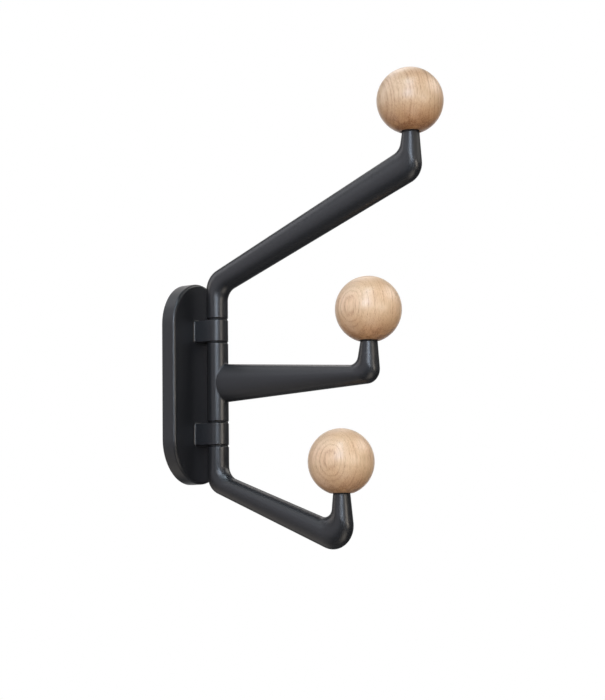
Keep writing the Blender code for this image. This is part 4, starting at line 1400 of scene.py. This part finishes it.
def oak_material(sizes, label, centre):
    """Light oiled oak: year rings, pores along the grain, stained end grain and wood darker towards the
    bottom, and painted shade in the recess and bore.
    """
    finish, radius = sizes.finish, sizes.ball_radius
    azimuth, lean, sway, soaked, tone, marked = CUTS[label]
    turn = (lean, 0.0, -math.radians(azimuth))
    material, tree, shader = new_material(label + "_oak")
    pattern = {}
    for name, (scale, along, detail, roughness) in OAK_PATTERNS.items():
        spot = object_spot(tree, centre, turn, (1.0, 1.0, along))
        pattern[name] = noise(spot, scale, detail, roughness)
    spot = object_spot(tree, centre, turn)
    early = year_lines(spot, pattern["sway"] * sway, pattern["ripple"] * RIPPLE, finish.ring_spacing)
    pore = remap(pattern["vessel"], 0.54, 0.66)
    clear = remap(pattern["patch"], 0.35, 0.60, 0.25 * marked, 0.85 * marked)
    unbroken = remap(pattern["broken"], 0.36, 0.56, 0.35, 1.0)
    height = object_spot(tree, centre).parts()[2]
    under = remap(height, -0.45 * radius, -0.85 * radius)
    blot = remap(pattern["blot"], 0.44, 0.54, 0.20, 1.0)
    streak = remap(pattern["vessel"], 0.45, 0.55, 0.20, 1.0)
    # Painted shade: the wood in the recess and bore under the ball is painted near black with the nylon
    # colour, standing in for the shadow inside the recess
    across = object_spot(tree, centre, scale=(1.0, 1.0, 0.0)).length()
    inside = across.math("LESS_THAN", sizes.ball.recess_diameter / 2 + MERGE)
    below = height.math("LESS_THAN", sizes.ball.edge_radius / 2 - sizes.flat_drop)
    light = toned(finish.oak_light, tone)
    layers = {
        "pink patches": (remap(pattern["patch"], 0.45, 0.70, 0.0, 0.5), toned(light, 1.0, OAK_PINK)),
        "year rings": (early * (clear * unbroken), finish.oak_dark),
        "fibres": (remap(pattern["fibre"], 0.40, 0.70, 0.0, 0.34), finish.oak_dark),
        "pores": (pore * (early * 0.70 + 0.30 * marked), finish.oak_dark),
        "top": (remap(height, 0.45 * radius, 0.95 * radius) * 0.22, finish.oak_dark),
        # Blended in by height: the wood turns darker and warmer towards the bottom of the ball
        "oiled wood": (remap(height, -0.10 * radius, -0.80 * radius) * (0.58 * soaked), finish.oak_oiled),
        "stained end grain": (under * (blot * streak) * soaked, finish.oak_soaked),
        "recess and bore": (inside * below, finish.nylon),
    }
    ground = light
    for amount, tint in layers.values():
        ground = blend(amount, ground, tint)
    relief = bump(pattern["fibre"] * 0.3 - pore, 0.00004, 0.35)
    fill(shader, {"Base Color": ground, "Roughness": pore * 0.15 + finish.oak_roughness, "Normal": relief})
    fill(shader, {"Coat Weight": finish.lacquer, "Coat Roughness": finish.lacquer_roughness})
    return material


def make_metal(name, tint, roughness, fineness):
    """Bare metal with fine tool marks."""
    material, tree, shader = new_material(name)
    marks = noise(object_spot(tree, scale=(1.0, 1.0, 8.0)), fineness, 3.0, 0.6)
    rough = remap(marks, 0.3, 0.7, roughness, roughness + 0.12)
    fill(shader, {"Base Color": blend(marks, tint, toned(tint, 0.8)), "Metallic": 1.0})
    fill(shader, {"Roughness": rough, "Normal": bump(marks, 0.00002, 0.4)})
    return material


def steel_material(sizes):
    tint = sizes.finish.steel
    return found_or_made(bpy.data.materials, "zinc_plated_steel", make_metal, tint, *STEEL_MARKS)


def brass_material(sizes):
    tint = sizes.finish.brass
    return found_or_made(bpy.data.materials, "turned_brass", make_metal, tint, *BRASS_MARKS)


def nylon_material(sizes):
    return found_or_made(bpy.data.materials, "black_nylon", make_nylon, sizes.finish.nylon)


def make_nylon(name, tint):
    """Black moulded nylon, matt."""
    material, tree, shader = new_material(name)
    mould = noise(object_spot(tree), NYLON_GRAIN, 2.0, 0.5)
    fill(shader, {"Base Color": blend(mould, tint, toned(tint, 1.6))})
    fill(shader, {"Roughness": remap(mould, 0.3, 0.7, 0.55, 0.68), "Normal": bump(mould, 0.00002, 0.5)})
    return material


# Stage


def look_along(direction, upward):
    """A rotation whose -Z looks along a direction, with +Y as near upward as it can be."""
    back = -direction.normalized()
    right = upward.cross(back).normalized()
    over = back.cross(right)
    return Matrix((right, over, back)).transposed().to_4x4()


# Soft square lamps round the hook: azimuth, elevation, side, light that reaches the hook, tint.
# A least-squares fit to the photo's pixels chose most of them from a grid of places and gave levels and
# tints. Some places, sizes, levels and tints were then changed, and the levels rounded.
LAMPS = {
    "front_wall": (-125.0, 10.0, 1.50, 1.15, (1.00, 0.97, 0.98)),
    "high_window": (-165.0, 45.0, 1.50, 1.15, (0.78, 0.90, 1.00)),
    "front_softbox": (-152.0, 15.0, 0.42, 1.45, (0.70, 0.82, 1.00)),
    "front_tall_softbox": (-152.0, 27.0, 0.42, 0.55, (0.70, 0.82, 1.00)),
    "front_left_softbox": (-167.0, 13.0, 0.30, 0.58, (0.92, 0.94, 1.00)),
    "front_right_softbox": (-102.0, 2.0, 0.50, 1.10, (1.00, 0.90, 0.78)),
    "left_wall": (155.0, 5.0, 1.60, 1.30, (0.96, 0.93, 1.00)),
    "left_panel": (150.0, 30.0, 0.60, 0.31, (0.90, 0.92, 1.00)),
    "left_high_panel": (150.0, 50.0, 0.60, 0.32, (1.00, 0.98, 0.98)),
    "left_low_panel": (135.0, -28.0, 0.70, 0.17, (1.00, 0.92, 0.90)),
    "back_low_panel": (100.0, -40.0, 1.40, 0.87, (1.00, 0.92, 0.86)),
    "back_left_low_panel": (108.0, 10.0, 0.70, 0.50, (1.00, 0.92, 0.88)),
    "back_left_panel": (108.0, 32.0, 0.70, 0.54, (0.95, 0.94, 1.00)),
    "back_left_high_panel": (108.0, 55.0, 0.70, 0.39, (0.93, 0.95, 1.00)),
    "back_high_panel": (60.0, 55.0, 0.70, 0.34, (1.00, 0.98, 0.98)),
    "back_right_high_panel": (35.0, 55.0, 0.70, 0.50, (1.00, 0.94, 0.92)),
    "right_high_panel": (-35.0, 35.0, 0.70, 0.82, (1.00, 0.98, 0.92)),
    "front_high_softbox": (-148.0, 54.0, 0.35, 1.15, (0.74, 0.88, 1.00)),
    "front_low_softbox": (-137.0, -45.0, 1.00, 1.15, (1.00, 0.90, 0.78)),
    "right_panel": (-65.0, 35.0, 0.70, 0.95, (1.00, 0.96, 0.92)),
    "right_low_glow": (-65.0, 5.0, 0.70, 0.05, (1.00, 0.92, 0.80)),
    "right_glow": (-35.0, 5.0, 0.70, 0.04, (0.85, 0.85, 1.00)),
}
LAMP_DISTANCE = 1.6
LAMP_AIM = Vector((0.0, -0.085, 0.03))
WHITE = (1.0, 1.0, 1.0, 1.0)

# Cosines of the angles off the photo's line of sight where the backdrop begins and is at its whitest
BACKDROP_EDGE = (0.74, 0.96)


def soft_lamp(name, level, spread):
    """A square soft lamp with a grid, which faces the hook and which the camera doesn't see."""
    azimuth, elevation, side, light, tint = LAMPS[name]
    azimuth, elevation = math.radians(azimuth), math.radians(elevation)
    flat = math.cos(elevation)
    away = Vector((flat * math.cos(azimuth), flat * math.sin(azimuth), math.sin(elevation)))
    lamp = bpy.data.lights.new(name, "AREA")
    lamp.shape = "SQUARE"
    lamp.size = side
    lamp.spread = spread
    gathered = 1.0 - spread / 2 / math.tan(spread / 2)
    lamp.energy = level * light * gathered * math.pi * LAMP_DISTANCE**2
    lamp.color = tint
    item = link_piece(name, lamp)
    item.matrix_world = Matrix.Translation(LAMP_AIM + away * LAMP_DISTANCE) @ look_along(-away, UPRIGHT)
    item.visible_camera = False


def ray(tree, kind):
    return field(tree, "ShaderNodeLightPath", output=f"Is {kind} Ray")


def mirrored_ray(tree):
    return ray(tree, "Glossy").math("MAXIMUM", ray(tree, "Transmission"))


def facing_backdrop(direction):
    """How far a direction turns to the backdrop behind the hook, as the photo's camera sees it."""
    ahead = (CAMERA_AIM - CAMERA_AT).normalized()
    return remap(direction.vector("DOT_PRODUCT", ahead, output="Value"), *BACKDROP_EDGE)


class HOOK_OT_stage(bpy.types.Operator):
    """Makes the floor, the white surroundings, the lamps and the camera"""

    bl_idname = "hook.stage"
    bl_label = "Stage"

    def execute(self, context):
        scene = context.scene
        stage = scene.hook_stage
        self.floor(stage)
        self.surroundings(scene, stage)
        for name in LAMPS:
            soft_lamp(name, stage.lamps, stage.spread)
        self.camera(scene)
        scene.view_settings.view_transform = "Standard"
        return {"FINISHED"}

    @staticmethod
    def floor(stage):
        """Pale, with a glow that the camera sees, and rays mirrored towards the backdrop."""
        half = stage.floor_size / 2
        corners = [(-half, -half), (half, -half), (half, half), (-half, half)]
        mesh = bpy.data.meshes.new("floor")
        mesh.from_pydata([(x, y, -stage.floor_drop) for x, y in corners], [], [(0, 1, 2, 3)])
        item = link_piece("floor", mesh)
        material, tree, shader = new_material("pale_floor")
        paler = [min(1.0, part) for part in toned(stage.floor, 1.03)]
        mottle = noise(object_spot(tree), FLOOR_MOTTLE, 2.0, 0.5)
        fill(shader, {"Base Color": blend(mottle, stage.floor, paler), "Roughness": 0.9})
        glow = field(tree, "ShaderNodeEmission", {"Color": WHITE, "Strength": 1.0})
        spot = field(tree, "ShaderNodeTexCoord", output="Object")
        away = spot.vector("SUBTRACT", CAMERA_AIM).vector("NORMALIZE")
        mirrored = mirrored_ray(tree) * facing_backdrop(away)
        seen = ray(tree, "Camera").math("MAXIMUM", mirrored) * stage.floor_glow
        mixed = field(tree, "ShaderNodeMixShader", {0: seen, 1: Field(shader.outputs[0]), 2: glow})
        fill(tree.nodes["Material Output"], {"Surface": mixed})
        item.data.materials.append(material)

    @staticmethod
    def surroundings(scene, stage):
        """White to the camera; other rays see white only towards the backdrop behind the hook."""
        world = bpy.data.worlds.new("studio")
        world.use_nodes = True
        scene.world = world
        tree = world.node_tree
        tree.nodes.clear()
        dim = field(tree, "ShaderNodeBackground", {"Color": WHITE, "Strength": stage.ambient})
        backdrop = field(tree, "ShaderNodeBackground", {"Color": WHITE, "Strength": 1.0})
        direction = field(tree, "ShaderNodeTexCoord", output="Generated")
        lighting = mirrored_ray(tree).math("MAXIMUM", ray(tree, "Diffuse"))
        shown = ray(tree, "Camera").math("MAXIMUM", lighting * facing_backdrop(direction))
        mixed = field(tree, "ShaderNodeMixShader", {0: shown, 1: dim, 2: backdrop})
        add_node(tree, "ShaderNodeOutputWorld", {"Surface": mixed})

    @staticmethod
    def camera(scene):
        data = bpy.data.cameras.new("photo_camera")
        data.lens = LENS_MM
        data.sensor_width = SENSOR_MM
        data.sensor_fit = "AUTO"
        data.clip_start = 0.01
        item = link_piece("photo_camera", data)
        item.matrix_world = Matrix.Translation(CAMERA_AT) @ look_along(CAMERA_AIM - CAMERA_AT, CAMERA_UP)
        scene.camera = item


STEPS = (
    HOOK_OT_plate,
    HOOK_OT_upper_arm,
    HOOK_OT_middle_arm,
    HOOK_OT_lower_arm,
    HOOK_OT_bushes,
    HOOK_OT_fixings,
    HOOK_OT_balls,
    HOOK_OT_stage,
)


class HOOK_PT_steps(bpy.types.Panel):
    """Buttons that make the wall hook's pieces"""

    bl_idname = "HOOK_PT_steps"
    bl_label = "Swivel wall hook"
    bl_space_type = "VIEW_3D"
    bl_region_type = "UI"
    bl_category = "Wall hook"

    def draw(self, context):
        column = self.layout.column()
        for step in STEPS:
            column.operator(step.bl_idname)
        for name, group in GROUPS:
            box = self.layout.box()
            box.label(text=name.capitalize())
            for key in group.__annotations__:
                box.prop(getattr(context.scene, "hook_" + name), key)


def register():
    for name, group in GROUPS:
        bpy.utils.register_class(group)
        setattr(bpy.types.Scene, "hook_" + name, PointerProperty(type=group))
    for kind in (*STEPS, HOOK_PT_steps):
        bpy.utils.register_class(kind)


def unregister():
    for kind in reversed((*STEPS, HOOK_PT_steps)):
        bpy.utils.unregister_class(kind)
    for name, group in reversed(GROUPS):
        delattr(bpy.types.Scene, "hook_" + name)
        bpy.utils.unregister_class(group)


def main():
    register()
    for step in STEPS:
        group, name = step.bl_idname.split(".")
        getattr(getattr(bpy.ops, group), name)()


if __name__ == "__main__":
    main()
